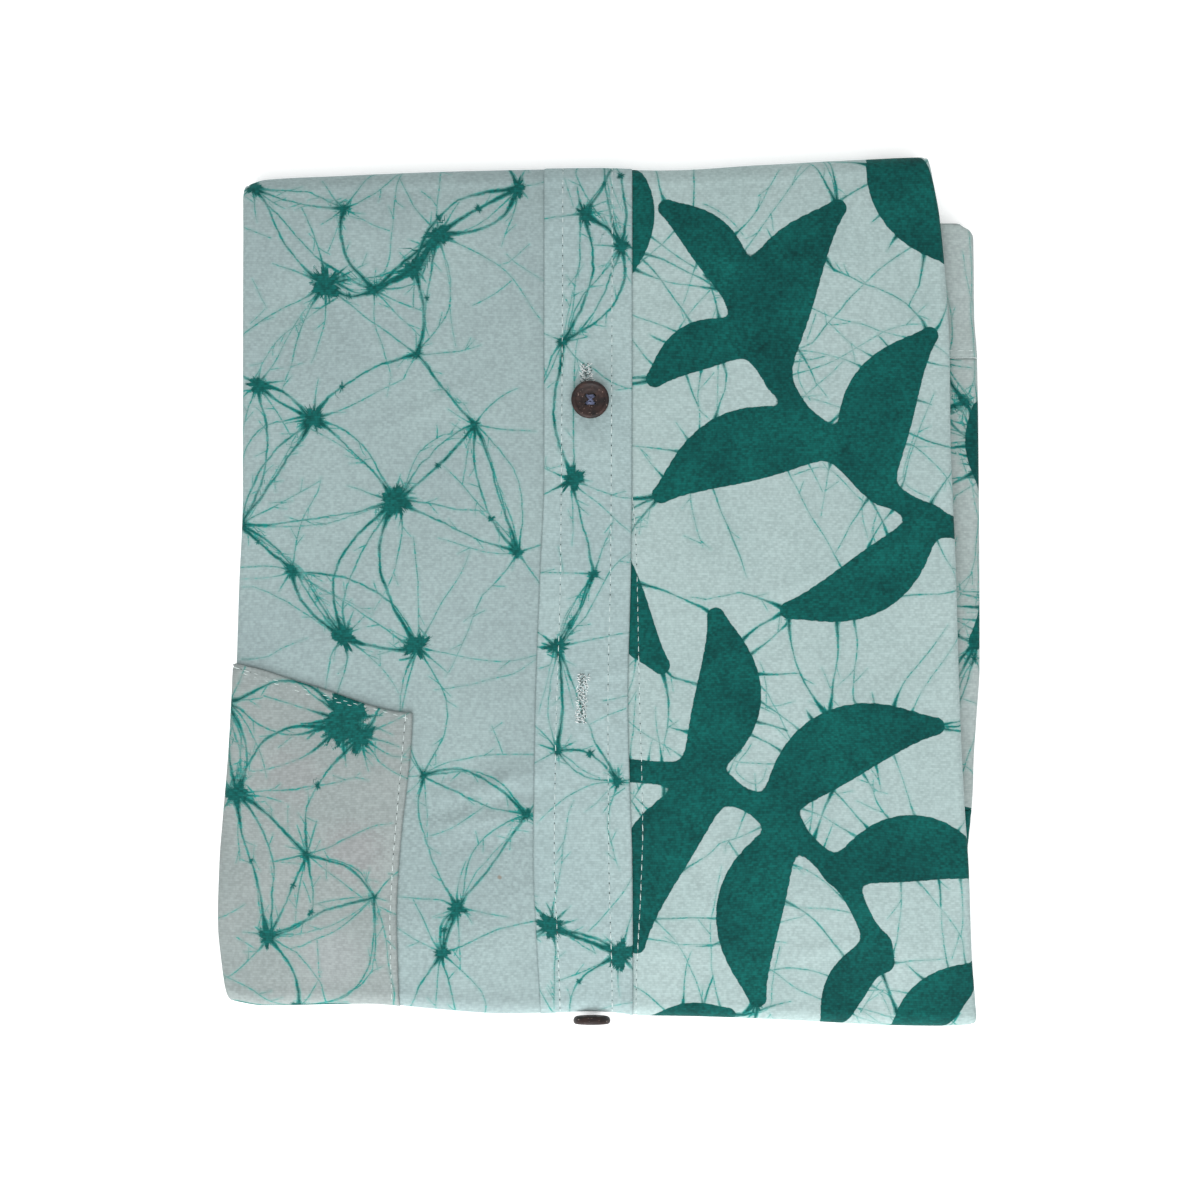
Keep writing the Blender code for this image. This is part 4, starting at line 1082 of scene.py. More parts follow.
def placketColumns(station):
    bandLeft, bandRight = bandX(station)
    down, rimWidth = placket["rim"]
    depth, sway, pitch, width = placket["drawnIn"]
    height, length, seed = placket["puckers"]
    x = np.linspace(bandLeft, bandRight, placket["columns"] + 1)
    rim = np.minimum(x - bandLeft, bandRight - x)
    offset = placket["outer"] - down * (1 - np.clip(rim / rimWidth, 0, 1)) ** 2
    y = stationY(station, readAt["rows"])
    for table, phase in ((placket["leftRow"], 0.0), (placket["rightRow"], 1.1)):
        pull = depth + sway * np.sin(2 * math.pi * y / pitch + phase)
        offset = offset - pull * np.exp(-((x - rowX(table, station)) / width) ** 2)
    offset = offset + height * valueNoise(x, y + 0 * x, length, seed) * np.clip(rim / 2, 0, 1)
    return x, offset, fold["bandLift"] + 0 * x, x


stations = foldStations(*placket["steps"])
grid, flat = sweepCloth(stations, placketColumns)
strands, blots = crackle(placket["hubs"], **placket["crackle"])
fields = crackFields(flat, strands, blots, seed=7, cell=0.8)
band = np.array([placketColumns(station)[1] for station in stations]) - placket["inner"]
bandCloth = closedShell("placket_band", grid, flat, band, fields)
finishPiece(bandCloth, placketCotton, ["placket"])
print("placket", grid.shape)

# the chest pocket, from its slanted bottom round the left edge and down to its mouth

pocket = {
    "columns": (72, 9),  # across the panel and round the roll
    "rows": (150, 9),  # from the bottom to the folded end, and round it to the mouth
    "corners": (-61.4, -119.0),  # x of the bottom's two ends
    "middleX": -90.0,
    "mouthAngle": math.radians(70),
    "mouthReach": 7.0,  # from the folded end's start to the mouth, along the cloth
    "mouthShadowLine": (-120.0, -84.0, 36),  # a dark line of painted shadow at the mouth, where the gap under it lies in shade: from x, to x, points
    "outer": 1.2,
    "inner": 0.35,
    "rim": (0.45, 0.8),
    "drawnIn": (0.15, 2.3, 0.8),  # by its stitches: depth, distance from the side, width
    "crackle": {"seed": 37, "reach": 55.0, "extra": 14, "bounds": (-122, -150, -62, -24)},
    "hubs": (
        (-84, -41, 6.6), (-78, -47, 3.5), (-119, -66, 3.0), (-109, -113, 2.7), (-96, -86, 1.2),
        (-74, -100, 1.0), (-121, -36, 1.6), (-100, -138, 1.9),
    ),
}


def pocketColumn(k):
    # all rows of one column: its points, flat place and offset
    panelSteps, rollSteps = pocket["columns"]
    runSteps, mouthSteps = pocket["rows"]
    down, rimWidth = pocket["rim"]
    depth, inset, width = pocket["drawnIn"]
    sideX, edgeX = pocket["corners"]
    share = min(k / panelSteps, 1.0)
    bottomX = (1 - share) * sideX + share * edgeX
    bottomY = smoothCurve(pocketBottom, bottomX)
    start = fractionAt(bottomX, bottomY)
    run = ("top", start * np.linspace(1, 0, runSteps + 1))
    mouth = ("low end", np.linspace(math.pi, math.pi - pocket["mouthAngle"], mouthSteps + 1)[1:])
    parts = []
    for station in (run, mouth):
        edge = leftEdgeX(station)
        side = smoothCurve(pocketSide, stationY(station, sideX))
        span = edge + fold["roll"] - side
        y = stationY(station, pocket["middleX"])
        toMouth = pocket["mouthReach"] - (math.pi - station[1]) * fold["lowRadius"] + 0 * y
        fromRim = np.minimum(share * -span, np.abs(bottomY - y) if station is run else toMouth)
        offset = pocket["outer"] - down * (1 - np.clip(fromRim / rimWidth, 0, 1)) ** 2
        offset = offset - depth * np.exp(-((share * -span - inset) / width) ** 2)
        if k <= panelSteps:
            x, n, across = side + share * span, offset, side + share * span
        else:
            angle = math.pi * (k - panelSteps) / rollSteps
            middle, radius = edge + fold["roll"], fold["roll"]
            x = middle - (radius + offset) * math.sin(angle)
            n = (radius + offset) * math.cos(angle) - radius
            across = middle - radius * angle
        placed, along = placeOnFold(station, x, n)
        parts.append((placed, np.stack([across + 0 * along, along], 1), offset + 0 * along))
    return [np.concatenate([a, b]) for a, b in zip(*parts)]


columns = [pocketColumn(k) for k in range(sum(pocket["columns"]) + 1)][::-1]
grid, flat, offset = (np.stack([column[i] for column in columns], 1) for i in range(3))
strands, blots = crackle(pocket["hubs"], **pocket["crackle"])
# painted shadow: a dark strand along the pocket's mouth, standing in for the shaded gap beneath it
mouthX = np.linspace(*pocket["mouthShadowLine"])
mouthShadowPath = np.stack([mouthX, smoothCurve(lowFold, mouthX) - 0.3], 1)
strands.append((mouthShadowPath, 1.0 + 0.4 * np.cos(np.linspace(0.4, 7.2, len(mouthX)))))
fields = crackFields(flat, strands, blots, seed=8)
pocketCloth = closedShell("chest_pocket", grid, flat, offset - pocket["inner"], fields)
finishPiece(pocketCloth, pocketCotton, ["pocket"])
print("pocket", grid.shape)

# yoke, back and sleeve: the edge of the shoulder third

shoulder = {
    "stripX": 125.7,  # the strip's heights and places are read along this line
    "reach": 16.0,  # width of the part that lies under the front, and of the part turned under
    "columns": (18, 10, 8),
    "yokeSeam": 77.5,  # y of the seams and stitches across the strip
    "seamEdge": 77.6,
    "yokeStitches": 80.0,
    "sleeveStitches": -75.0,
    "stitchedAcross": (-14, 7, 30),  # from and to, seen from the turned edge's start, and points
    "uneven": (0.12, 9.0, 51),  # height, length, seed
    "crackle": {"seed": 49, "reach": 40.0, "extra": 8, "bounds": (104, -90, 128, 120)},
    "hubs": (
        (114, 76, 1.6), (124, 50, 2.0), (121, 63, 1.4), (114, 60, 1.2), (117, -14, 1.3), (124, -22, 1.2),
    ),
    "sprays": (
        (((138, 66, 3), (132, 62, 3)), ((126, 60), (128, 36), 4.6, -1.5)),
        (((136, 16, 3), (132, 12, 3)), ((131, 10), (125, -16), 3.6, 2)),
        (((100, -80, 6), (136, -82, 6)), ((100, -80), (136, -84), 9, 2)),
    ),
    "drawnOver": ((92.0, -106.0), (160.0, 130.0)),
    "edgeStrands": {"seed": 47, "spacing": 4.0, "echoes": 4},
}


def shoulderGrid(low, high, rows, rise):
    panelSteps, rollSteps, stubSteps = shoulder["columns"]
    radius = fold["roll"]
    angle = math.pi * np.arange(1, rollSteps + 1) / rollSteps
    stub = shoulder["reach"] * np.arange(1, stubSteps + 1) / stubSteps
    height, length, seed = shoulder["uneven"]
    points, flat = [], []
    for t in np.linspace(high, low, rows + 1):
        y = runY(shoulder["stripX"], t)
        turn = smoothCurve(shoulderRightEdge, y) - radius
        outer = radius + rise(y)
        panel = np.linspace(turn - shoulder["reach"], turn, panelSteps + 1)
        x = np.concatenate([panel, turn + outer * np.sin(angle), turn - stub])
        z = np.concatenate([0 * panel + outer, outer * np.cos(angle), 0 * stub - outer])
        across = np.concatenate([panel, turn + radius * angle, turn + math.pi * radius + stub])
        y = runY(x, t)
        uneven = height * valueNoise(x, y, length, seed) * np.clip(z / radius, 0, 1)
        z = z + smoothCurve(shoulderHeight, nominalY(t)) + uneven
        points.append(np.stack([x, y, z], 1))
        flat.append(np.stack([across, y], 1))
    return np.array(points), np.array(flat)


def yAsFraction(y):
    return fractionAt(shoulder["stripX"], y)


def dip(y, middle, width, depth):
    return -depth * np.exp(-((y - middle) / width) ** 2)


def yokeRise(y):
    # the yoke lies on the back; its edge is rounded, and its stitches draw it in
    return 0.2 + dip(y, shoulder["yokeSeam"], 0.4, 0.2) + dip(y, shoulder["yokeStitches"], 0.7, 0.12)


def sleeveRise(y):
    return dip(y, shoulder["sleeveStitches"], 0.7, 0.1)


strips = (  # piece, node, slot, low y, high y, rows, how its surface stands above the strip
    ("yoke_edge", "yoke", "yoke_cotton", shoulder["yokeSeam"], 122.0, 48, yokeRise),
    ("back_edge", "back", "back_cotton", -72.15, 77.44, 150, lambda y: 0.0),
    ("sleeve_edge", "sleeve", "sleeve_cotton", -93.0, -72.45, 24, sleeveRise),
)
stripCotton = batikCotton("shoulder_batik_cotton", ("#939f9d", "#9aa6a5"), waxed=True, seed=200.0)
drawn, stripStrands = drawLeaves(shoulder)
stripStrands += crackle(shoulder["hubs"], **shoulder["crackle"])[0]
for name, cadNode, slotName, lowY, highY, rows, rise in strips:
    grid, flat = shoulderGrid(yAsFraction(lowY), yAsFraction(highY), rows, rise)
    blots = shoulder["hubs"] if name == "back_edge" else ()
    fields = crackFields(flat, stripStrands, blots, seed=9, cell=1.1)
    fields["waxEdge"] = np.clip(insideLeaves(drawn, flat), -6, 6)
    piece = closedShell(name, grid, flat, fold["wall"], fields)
    finishPiece(piece, stripCotton, [cadNode])
print("shoulder strips")

# layers folded away inside


def bundle(fromT, toT, left, right, low, high, rows):
    # one folded layer: a flat tube with rounded long edges
    points, flat = [], []
    angles = np.linspace(0, math.pi, 7)
    for t in np.linspace(fromT, toT, rows + 1):
        lowZ, highZ = low(t), high(t)
        middle, half = (lowZ + highZ) / 2, (highZ - lowZ) / 2
        start, end = left(t) + half, right(t) - half
        over = np.linspace(start, end, 14)
        x = np.concatenate([over, end + half * np.sin(angles), over[::-1], start - half * np.sin(angles)])
        turns = [0 * over + half, half * np.cos(angles), 0 * over - half, -half * np.cos(angles)]
        z = np.concatenate(turns) + middle
        y = runY(x, t)
        points.append(np.stack([x, y, z], 1))
        around = np.concatenate([[0], np.cumsum(np.hypot(np.diff(x), np.diff(z)))])
        flat.append(np.stack([around, y], 1))
    points, flat = np.array(points), np.array(flat)
    count, ring = points.shape[:2]
    index = np.arange(count * ring).reshape(count, ring)
    nextOne = np.roll(index, -1, axis=1)
    corners = (index[:-1], nextOne[:-1], nextOne[1:], index[1:])
    sides = np.stack([corner.ravel() for corner in corners], 1)
    return points.reshape(-1, 3), flat.reshape(-1, 2), (sides, index[0][None, ::-1], index[-1][None])


def joinedBundles(name, parts):
    points, flat, groups, base = [], [], {}, 0
    for part, partFlat, faceSets in parts:
        points.append(part)
        flat.append(partFlat)
        for faces in faceSets:
            groups.setdefault(faces.shape[1], []).append(faces + base)
        base += len(part)
    faceGroups = [np.concatenate(group) for group in groups.values()]
    return meshObject(name, np.concatenate(points), faceGroups, np.concatenate(flat))


def level(z):
    return lambda t: z


def belowTop(depth):
    return lambda t: smoothCurve(topHeight, nominalY(t)) - depth


def aboutShoulder(rise):
    return lambda t: smoothCurve(shoulderHeight, nominalY(t)) + rise


def leftOf(kind, inset):
    return lambda t: leftEdgeX((kind, t)) + inset


def rightOf(kind, inset):
    return lambda t: rightEdgeX((kind, t)) - inset


chest, hem = nominalFraction(fold["chestY"]), nominalFraction(fold["hemY"])
seam, under = yAsFraction(122.0), level(104.0)  # where the strip ends, and how far its layers reach in
layers = (  # from, to, left edge, right edge, underside, top, rows
    (0.014, 0.986, leftOf("top", 1.9), rightOf("top", 2.0), belowTop(3.6), belowTop(1.0), 60),
    (chest + 0.01, seam, leftOf("top", 1.6), under, aboutShoulder(0.1), aboutShoulder(2.2), 60),
    (chest + 0.01, seam, leftOf("top", 3.0), under, aboutShoulder(-2.2), aboutShoulder(-0.1), 60),
    (hem + 0.01, 0.986, leftOf("tail", 1.9), rightOf("tail", 1.9), level(1.2), level(3.7), 50),
    (0.014, chest - 0.012, leftOf("chest", 1.9), rightOf("chest", 1.9), level(1.2), level(3.7), 16),
    (0.014, chest - 0.01, leftOf("top", 2.6), rightOf("top", 2.4), level(4.8), level(6.9), 16),
    (0.014, chest - 0.01, leftOf("top", 1.5), rightOf("top", 3.8), level(7.0), level(8.6), 16),
    (seam + 0.006, 0.986, leftOf("top", 3.0), rightOf("top", 2.6), level(4.9), level(7.2), 8),
    (seam + 0.006, 0.986, leftOf("top", 1.8), rightOf("top", 4.2), level(7.3), level(9.3), 8),
)
foldedLayers = joinedBundles("folded_layers", [bundle(*layer) for layer in layers])
finishPiece(foldedLayers, foldedCotton, ["hidden_layers"])
print("folded layers")

# sewing


def sewingThread(name, hue, roughness):
    # spun polyester thread: a slight lustre, and dark flecks of painted shade, about 0.2 mm across, between
    # its plies
    made, node = newMaterial(name)
    place = node("ShaderNodeTexCoord", out=3)
    plies = node("ShaderNodeTexNoise", {0: place, "Scale": 5200.0, "Detail": 2.0})
    lit = node("ShaderNodeMapRange", {0: plies, 1: 0.35, 2: 0.65})
    colour = node("ShaderNodeMix", {0: lit, 6: linear(hue[0]), 7: linear(hue[1])}, 2, data_type="RGBA")
    bump = node("ShaderNodeBump", {"Strength": 0.4, "Distance": 0.00004, "Height": plies})
    shader = node("ShaderNodeBsdfPrincipled", {
        "Base Color": colour, "Normal": bump, "Roughness": roughness, "IOR": 1.5, "Sheen Weight": 0.1,
    })
    node("ShaderNodeOutputMaterial", {"Surface": shader})
    return made


def stitchTree(material):
    # even stitches along a path, each lying on the cloth: "up" on the path's points is the cloth's normal
    tree = bpy.data.node_groups.new("stitches", "GeometryNodeTree")
    sockets = (("Geometry", "NodeSocketGeometry", None), ("Spacing", "NodeSocketFloat", 0.0032),
               ("Stitch length", "NodeSocketFloat", 0.0026), ("Width", "NodeSocketFloat", 0.0004),
               ("Height", "NodeSocketFloat", 0.0003), ("Turn", "NodeSocketFloat", 0.0),
               ("Unevenness", "NodeSocketFloat", 0.1), ("Seed", "NodeSocketInt", 1))
    for name, kind, value in sockets:
        made = tree.interface.new_socket(name, in_out="INPUT", socket_type=kind)
        if value is not None:
            made.default_value = value
    tree.interface.new_socket("Geometry", in_out="OUTPUT", socket_type="NodeSocketGeometry")
    node = partial(addNode, tree)
    given = node("NodeGroupInput", out=None).outputs
    curve = node("GeometryNodeMeshToCurve", {"Mesh": given["Geometry"]})
    points = node("GeometryNodeResampleCurve", {"Curve": curve, "Length": given["Spacing"]}, mode="LENGTH")
    up = node("GeometryNodeInputNamedAttribute", {"Name": "up"}, data_type="FLOAT_VECTOR")
    along = node("GeometryNodeInputTangent")
    turn = node("FunctionNodeAxesToRotation", {"Primary Axis": along, "Secondary Axis": up},
                primary_axis="X", secondary_axis="Z")
    limits = {2: -1.0, 3: 1.0, "Seed": given["Seed"]}
    sway = node("FunctionNodeRandomValue", limits, 1, data_type="FLOAT")
    share = {0: sway, 1: given["Unevenness"], 2: given["Turn"]}
    angle = node("ShaderNodeMath", share, operation="MULTIPLY_ADD")
    euler = node("ShaderNodeCombineXYZ", {"Z": angle})
    spin = node("FunctionNodeEulerToRotation", {0: euler})
    turned = node("FunctionNodeRotateRotation", {"Rotation": turn, "Rotate By": spin},
                  rotation_space="LOCAL")
    sizes = {"X": given["Stitch length"], "Y": given["Width"], "Z": given["Height"]}
    ball = node("GeometryNodeMeshUVSphere", {"Segments": 8, "Rings": 5, "Radius": 0.5})
    scale = node("ShaderNodeCombineXYZ", sizes)
    stitch = node("GeometryNodeTransform", {"Geometry": ball, "Scale": scale})
    limits = {2: 0.8, 3: 1.12, "Seed": given["Seed"]}
    swell = node("FunctionNodeRandomValue", limits, 1, data_type="FLOAT")
    placed = {"Points": points, "Instance": stitch, "Rotation": turned, "Scale": swell}
    laid = node("GeometryNodeInstanceOnPoints", placed)
    real = node("GeometryNodeRealizeInstances", {0: laid})
    smooth = node("GeometryNodeSetShadeSmooth", {0: real})
    coloured = node("GeometryNodeSetMaterial", {"Geometry": smooth, "Material": material})
    node("NodeGroupOutput", {0: coloured}, None)
    return tree


def sew(name, tree, paths, material, sizes, seed=1):
    # paths are runs of points and normals; sizes: spacing, length, width, height (mm), turn, unevenness
    points, ups, edges, base = [], [], [], 0
    for path, up in paths:
        points.append(path)
        ups.append(up)
        edges += [(base + i, base + i + 1) for i in range(len(path) - 1)]
        base += len(path)
    mesh = bpy.data.meshes.new(name + "_path")
    mesh.from_pydata((np.concatenate(points) * mm).tolist(), edges, [])
    ups = np.concatenate(ups).astype(np.float32)
    mesh.attributes.new("up", "FLOAT_VECTOR", "POINT").data.foreach_set("vector", ups.ravel())
    guide = bpy.data.objects.new(name + "_path", mesh)
    bpy.context.scene.collection.objects.link(guide)
    sewn = guide.modifiers.new("stitches", "NODES")
    sewn.node_group = tree
    inputs = [socket for socket in tree.interface.items_tree if socket.in_out == "INPUT"]
    named = {socket.name: socket.identifier for socket in inputs}
    spacing, length, width, height, turn, uneven = sizes
    values = (("Spacing", spacing * mm), ("Stitch length", length * mm), ("Width", width * mm),
              ("Height", height * mm), ("Turn", turn), ("Unevenness", uneven), ("Seed", seed))
    for label, value in values:
        sewn[named[label]] = value
    graph = bpy.context.evaluated_depsgraph_get()
    result = bpy.data.meshes.new_from_object(guide.evaluated_get(graph))
    made = bpy.data.objects.new(name, result)
    result.name = name
    bpy.context.scene.collection.objects.link(made)
    bpy.data.objects.remove(guide)
    made.data.materials.clear()
    return finishPiece(made, material)


def rowOnCloth(rowStations, xOf, offset, shift=0.0):
    # a stitch row on the folded cloth, with the cloth's normal at each point
    points, ups = [], []
    for station in rowStations:
        x = np.array([float(xOf(station))])
        low, _ = placeOnFold(station, x, offset, shift)
        high, _ = placeOnFold(station, x, offset + 1.0, shift)
        points.append(low[0])
        ups.append((high - low)[0] / np.linalg.norm(high - low))
    return np.array(points), np.array(ups)


def seamOnTop(pairs, offset, count=24):
    # a straight or slightly curved run on the top surface through pairs x, y
    pairs = np.array(pairs, dtype=float)
    reach = np.concatenate([[0], np.cumsum(np.hypot(*np.diff(pairs, axis=0).T))])
    along = np.linspace(0, reach[-1], count)
    points, ups = [], []
    for x, y in zip(np.interp(along, reach, pairs[:, 0]), np.interp(along, reach, pairs[:, 1])):
        t = fractionAt(x, y)
        points.append(placeOnFold(("top", t), np.array([x]), offset)[0][0])
        ups.append((0.0, 0.0, 1.0))
    return np.array(points), np.array(ups)


seamThread = sewingThread("pale_seam_thread", ("#a2b1af", "#cfdbd9"), 0.7)
whiteThread = sewingThread("off_white_buttonhole_thread", ("#b9c1c0", "#e9eded"), 0.6)
blueThread = sewingThread("grey_blue_thread", ("#343b54", "#646c89"), 0.6)
# dark specks of painted shade where the needle holes sink into the cloth, made with the thread's recipe
needleHoleShadow = sewingThread("needle_hole_shadow", ("#2c3938", "#465655"), 0.9)
sewing = {
    "pitch": 3.25,  # about eight stitches to the inch
    "stitch": (2.4, 0.3, 0.26),  # length, width, height
    # size of each painted shadow in a needle hole: length, width, height
    "hole": (0.55, 0.36, 0.1),
}
rowSizes = (sewing["pitch"], *sewing["stitch"], 0.0, 0.07)
holeShadowSizes = (sewing["pitch"], *sewing["hole"], 0.0, 0.4)
seamTree, threadTree, holeShadowTree = stitchTree(seamThread), stitchTree(whiteThread), stitchTree(needleHoleShadow)


def halfPitchOn(path):
    # the same run, begun half a pitch later, for the painted shadows in the needle holes between the
    # stitches
    points, ups = path
    reach = np.concatenate([[0], np.cumsum(np.linalg.norm(np.diff(points, axis=0), axis=1))])
    along = np.arange(sewing["pitch"] / 2, reach[-1], 1.5)
    halves = [[np.interp(along, reach, part[:, k]) for k in range(3)] for part in (points, ups)]
    return tuple(np.stack(half, 1) for half in halves)


rowStations = foldStations(1.5, 1.5, 2.0)
bandLevel, pocketLevel = placket["outer"] - 0.13, pocket["outer"] - 0.1
bandPaths = [
    rowOnCloth(rowStations, lambda s: rowX(placket["leftRow"], s), bandLevel, fold["bandLift"]),
    rowOnCloth(rowStations, lambda s: rowX(placket["rightRow"], s), bandLevel, fold["bandLift"]),
]
underlapPaths = [rowOnCloth(rowStations, underlapX, -0.12, 0.0)]
# along the pocket's slanted bottom, twice near its side, and up that side to the mouth
pocketPaths = [
    seamOnTop([(-119.0, -24.8), (-94.3, -32.6), (-63.7, -41.1)], pocketLevel, 40),
    seamOnTop([(-116.0, -26.9), (-94.3, -33.9), (-82.0, -37.0)], pocketLevel, 30),
    seamOnTop([(-63.7, -41.1), (-67.9, -88.0), (-69.0, -108.0), (-68.7, -133.0)], pocketLevel, 50),
]
seams = (  # name, its runs, the cloth it is sewn in, seed
    ("placket", bandPaths, "placket_cotton", 3),
    ("underlap", underlapPaths, "dyed_cotton", 5),
    ("pocket", pocketPaths, "pocket_cotton", 7),
)
for name, paths, slotName, seed in seams:
    sew(name + "_stitches", seamTree, paths, seamThread, rowSizes, seed)
    gaps = [halfPitchOn(path) for path in paths]
    sew(name + "_needle_hole_shadows", holeShadowTree, gaps, needleHoleShadow, holeShadowSizes, seed + 1)
print("stitch rows")

# buttonholes: tangled whip stitches down both sides of a slit, light and shadowed ones mixed
buttonholes = {
    "slits": (  # name, from, to
        ("upper_buttonhole", (-4.6, 74.6), (-4.2, 60.5)),
        ("middle_buttonhole", (-5.5, -27.0), (-6.3, -42.6)),
    ),
    "wander": 0.6,
    "tangle": (  # label, tree, thread, columns' distances from the slit, height, and the stitches' sizes
        ("_whip", threadTree, whiteThread, (-1.35, -0.8, 0.75, 1.3), 0.05,
         (0.9, 1.25, 0.26, 0.28, 0.9, 1.2)),
        ("_shadows", holeShadowTree, needleHoleShadow, (-1.0, -0.1, 0.1, 1.0), 0.07,
         (1.25, 0.85, 0.3, 0.26, 0.9, 1.5)),
    ),
}
steps = np.linspace(0, 1, 26)[:, None]
for number, (name, start, end) in enumerate(buttonholes["slits"]):
    run = np.array(end) - np.array(start)
    away = np.array([-run[1], run[0]]) / np.hypot(*run)
    rng = np.random.default_rng(70 + number)
    for order, (label, tree, thread, columnsAt, height, sizes) in enumerate(buttonholes["tangle"]):
        paths = []
        for k in columnsAt:
            aside = k + rng.normal(0, buttonholes["wander"], (len(steps), 1))
            column = start + steps * run + away * aside
            paths.append(seamOnTop(column, placket["outer"] + height, 90))
        sew(name + label, tree, paths, thread, sizes, 11 + 4 * order + number)


def acrossStrip(y, lift):
    # a run across the strip and round its turned edge, with its normals
    points, ups = [], []
    turn, t = smoothCurve(shoulderRightEdge, y) - fold["roll"], yAsFraction(y)
    radius = fold["roll"] + lift
    for reach in np.linspace(*shoulder["stitchedAcross"]):
        angle = np.clip(reach / fold["roll"], 0, math.pi)
        x = turn + min(reach, 0) + radius * math.sin(angle)
        z = smoothCurve(shoulderHeight, nominalY(t)) + radius * math.cos(angle)
        points.append((x, runY(x, t), z))
        ups.append((math.sin(angle), 0.0, math.cos(angle)))
    return np.array(points), np.array(ups)


# yoke topstitch, and the pale folded edge of its seam
seamEdgeSizes = (0.9, 1.5, 0.34, 0.3, 0.0, 0.05)
topstitch, seamEdge = (acrossStrip(shoulder[row], 0.08) for row in ("yokeStitches", "seamEdge"))
sew("yoke_topstitch", seamTree, [topstitch], seamThread, rowSizes, 23)
sew("yoke_seam_edge", seamTree, [seamEdge], seamThread, seamEdgeSizes, 24)
print("buttonholes and yoke topstitch")

# two coconut buttons, one lying on the placket and one standing on the lower fold

button = {
    "profile": (  # radius, height
        (0.0, 0.0), (4.6, 0.0), (5.3, 0.1), (5.8, 0.4), (6.1, 0.9), (6.2, 1.4), (6.1, 1.95), (5.85, 2.35),
        (5.5, 2.56), (5.2, 2.6), (5.0, 2.54), (4.8, 2.38), (4.6, 2.2), (4.2, 2.08), (3.6, 2.02),
        (3.2, 1.94), (2.9, 1.78), (2.5, 1.66), (0.0, 1.62),
    ),
    "segments": 72,
    "holeRadius": 0.65,
    "holeReach": 1.75,  # from the middle to a hole's middle
    "loops": (5, 0.26, 0.95, 0.14),  # of thread over each bar: how many, scatter, rise, more for each next
    "lean": 80.0,  # of the one that stands on the fold, in degrees
    "leanX": -2.7,
    "clearance": 0.3,  # between that one and the cloth
}


def coconutShell():
    # turned and waxed coconut shell: nearly black brown, short paler fibres, a satin polish
    made, node = newMaterial("coconut_shell_polished")
    place = node("ShaderNodeTexCoord", out=3)
    turned = {0: place, "Rotation": (0.3, 0.2, 0.6), "Scale": (420.0, 1500.0, 900.0)}
    grain = node("ShaderNodeMapping", turned)  # fibres of about 0.7 mm by 2.4 mm
    fibres = node("ShaderNodeTexNoise", {0: grain, "Scale": 1.0, "Detail": 5.0, "Roughness": 0.65})
    clouds = node("ShaderNodeTexNoise", {0: place, "Scale": 330.0, "Detail": 3.0})
    flecks = node("ShaderNodeTexNoise", {0: place, "Scale": 1500.0, "Detail": 1.0})
    colour = linear("#1a1414")
    layers = (
        (clouds, 0.35, 0.7, 1.0, "#33231f"), (fibres, 0.52, 0.8, 0.6, "#523a32"),
        (flecks, 0.69, 0.76, 0.7, "#a08a80"),
    )
    for pattern, low, high, most, hue in layers:
        share = node("ShaderNodeMapRange", {0: pattern, 1: low, 2: high, 3: 0.0, 4: most})
        colour = node("ShaderNodeMix", {0: share, 6: colour, 7: linear(hue)}, **rgba)
    bump = node("ShaderNodeBump", {"Strength": 0.5, "Distance": 0.00008, "Height": fibres})
    shader = node("ShaderNodeBsdfPrincipled", {
        "Base Color": colour, "Normal": bump, "Roughness": 0.55, "IOR": 1.5, "Specular IOR Level": 0.3,
    })
    node("ShaderNodeOutputMaterial", {"Surface": shader})
    return made


def latheGrid(profile, segments):
    # a profile turned once round, with a pole where its radius is nought
    points, faces = [], []
    for radius, height in profile:
        angles = 2 * math.pi * np.arange(1 if radius == 0 else segments) / segments
        ring = [radius * np.cos(angles), radius * np.sin(angles), height + 0 * angles]
        points.append(np.stack(ring, 1))
    starts = np.concatenate([[0], np.cumsum([len(p) for p in points])])
    for i in range(len(profile) - 1):
        a, b = starts[i], starts[i + 1]
        for k in range(segments):
            n = (k + 1) % segments
            if len(points[i]) == 1:
                faces.append((a, b + n, b + k))
            elif len(points[i + 1]) == 1:
                faces.append((a + k, a + n, b))
            else:
                faces.append((a + k, a + n, b + n, b + k))
    return np.concatenate(points), faces


def threadLoop(start, end, rise, radius=0.17, sides=6, steps=9):
    # one strand of thread over the bar between two holes
    t = np.linspace(0, 1, steps)
    start, end = np.array(start), np.array(end)
    path = start + t[:, None] * (end - start)
    path[:, 2] += rise * np.sin(math.pi * t) ** 0.6
    run = np.gradient(path, axis=0)
    side = np.cross(run, (0, 0, 1.0))
    side /= np.linalg.norm(side, axis=1, keepdims=True)
    over = np.cross(side, run)
    over /= np.linalg.norm(over, axis=1, keepdims=True)
    angles = (2 * math.pi * np.arange(sides) / sides)[:, None]
    rings = path[:, None] + radius * (side[:, None] * np.cos(angles) + over[:, None] * np.sin(angles))
    index = np.arange(steps * sides).reshape(steps, sides)
    turned = np.roll(index, -1, axis=1)
    corners = (index[:-1], turned[:-1], turned[1:], index[1:])
    quads = np.stack([corner.ravel() for corner in corners], 1)
    return rings.reshape(-1, 3), [tuple(q) for q in quads] + [tuple(index[0][::-1]), tuple(index[-1])]


def solidFrom(name, points, faces, matrix):
    mesh = bpy.data.meshes.new(name)
    points = np.asarray(points) @ matrix[:, :3].T + matrix[:, 3]
    mesh.from_pydata((points * mm).tolist(), [], [tuple(int(i) for i in face) for face in faces])
    mesh.polygons.foreach_set("use_smooth", np.ones(len(mesh.polygons), dtype=bool))
    made = bpy.data.objects.new(name, mesh)
    bpy.context.scene.collection.objects.link(made)
    return made


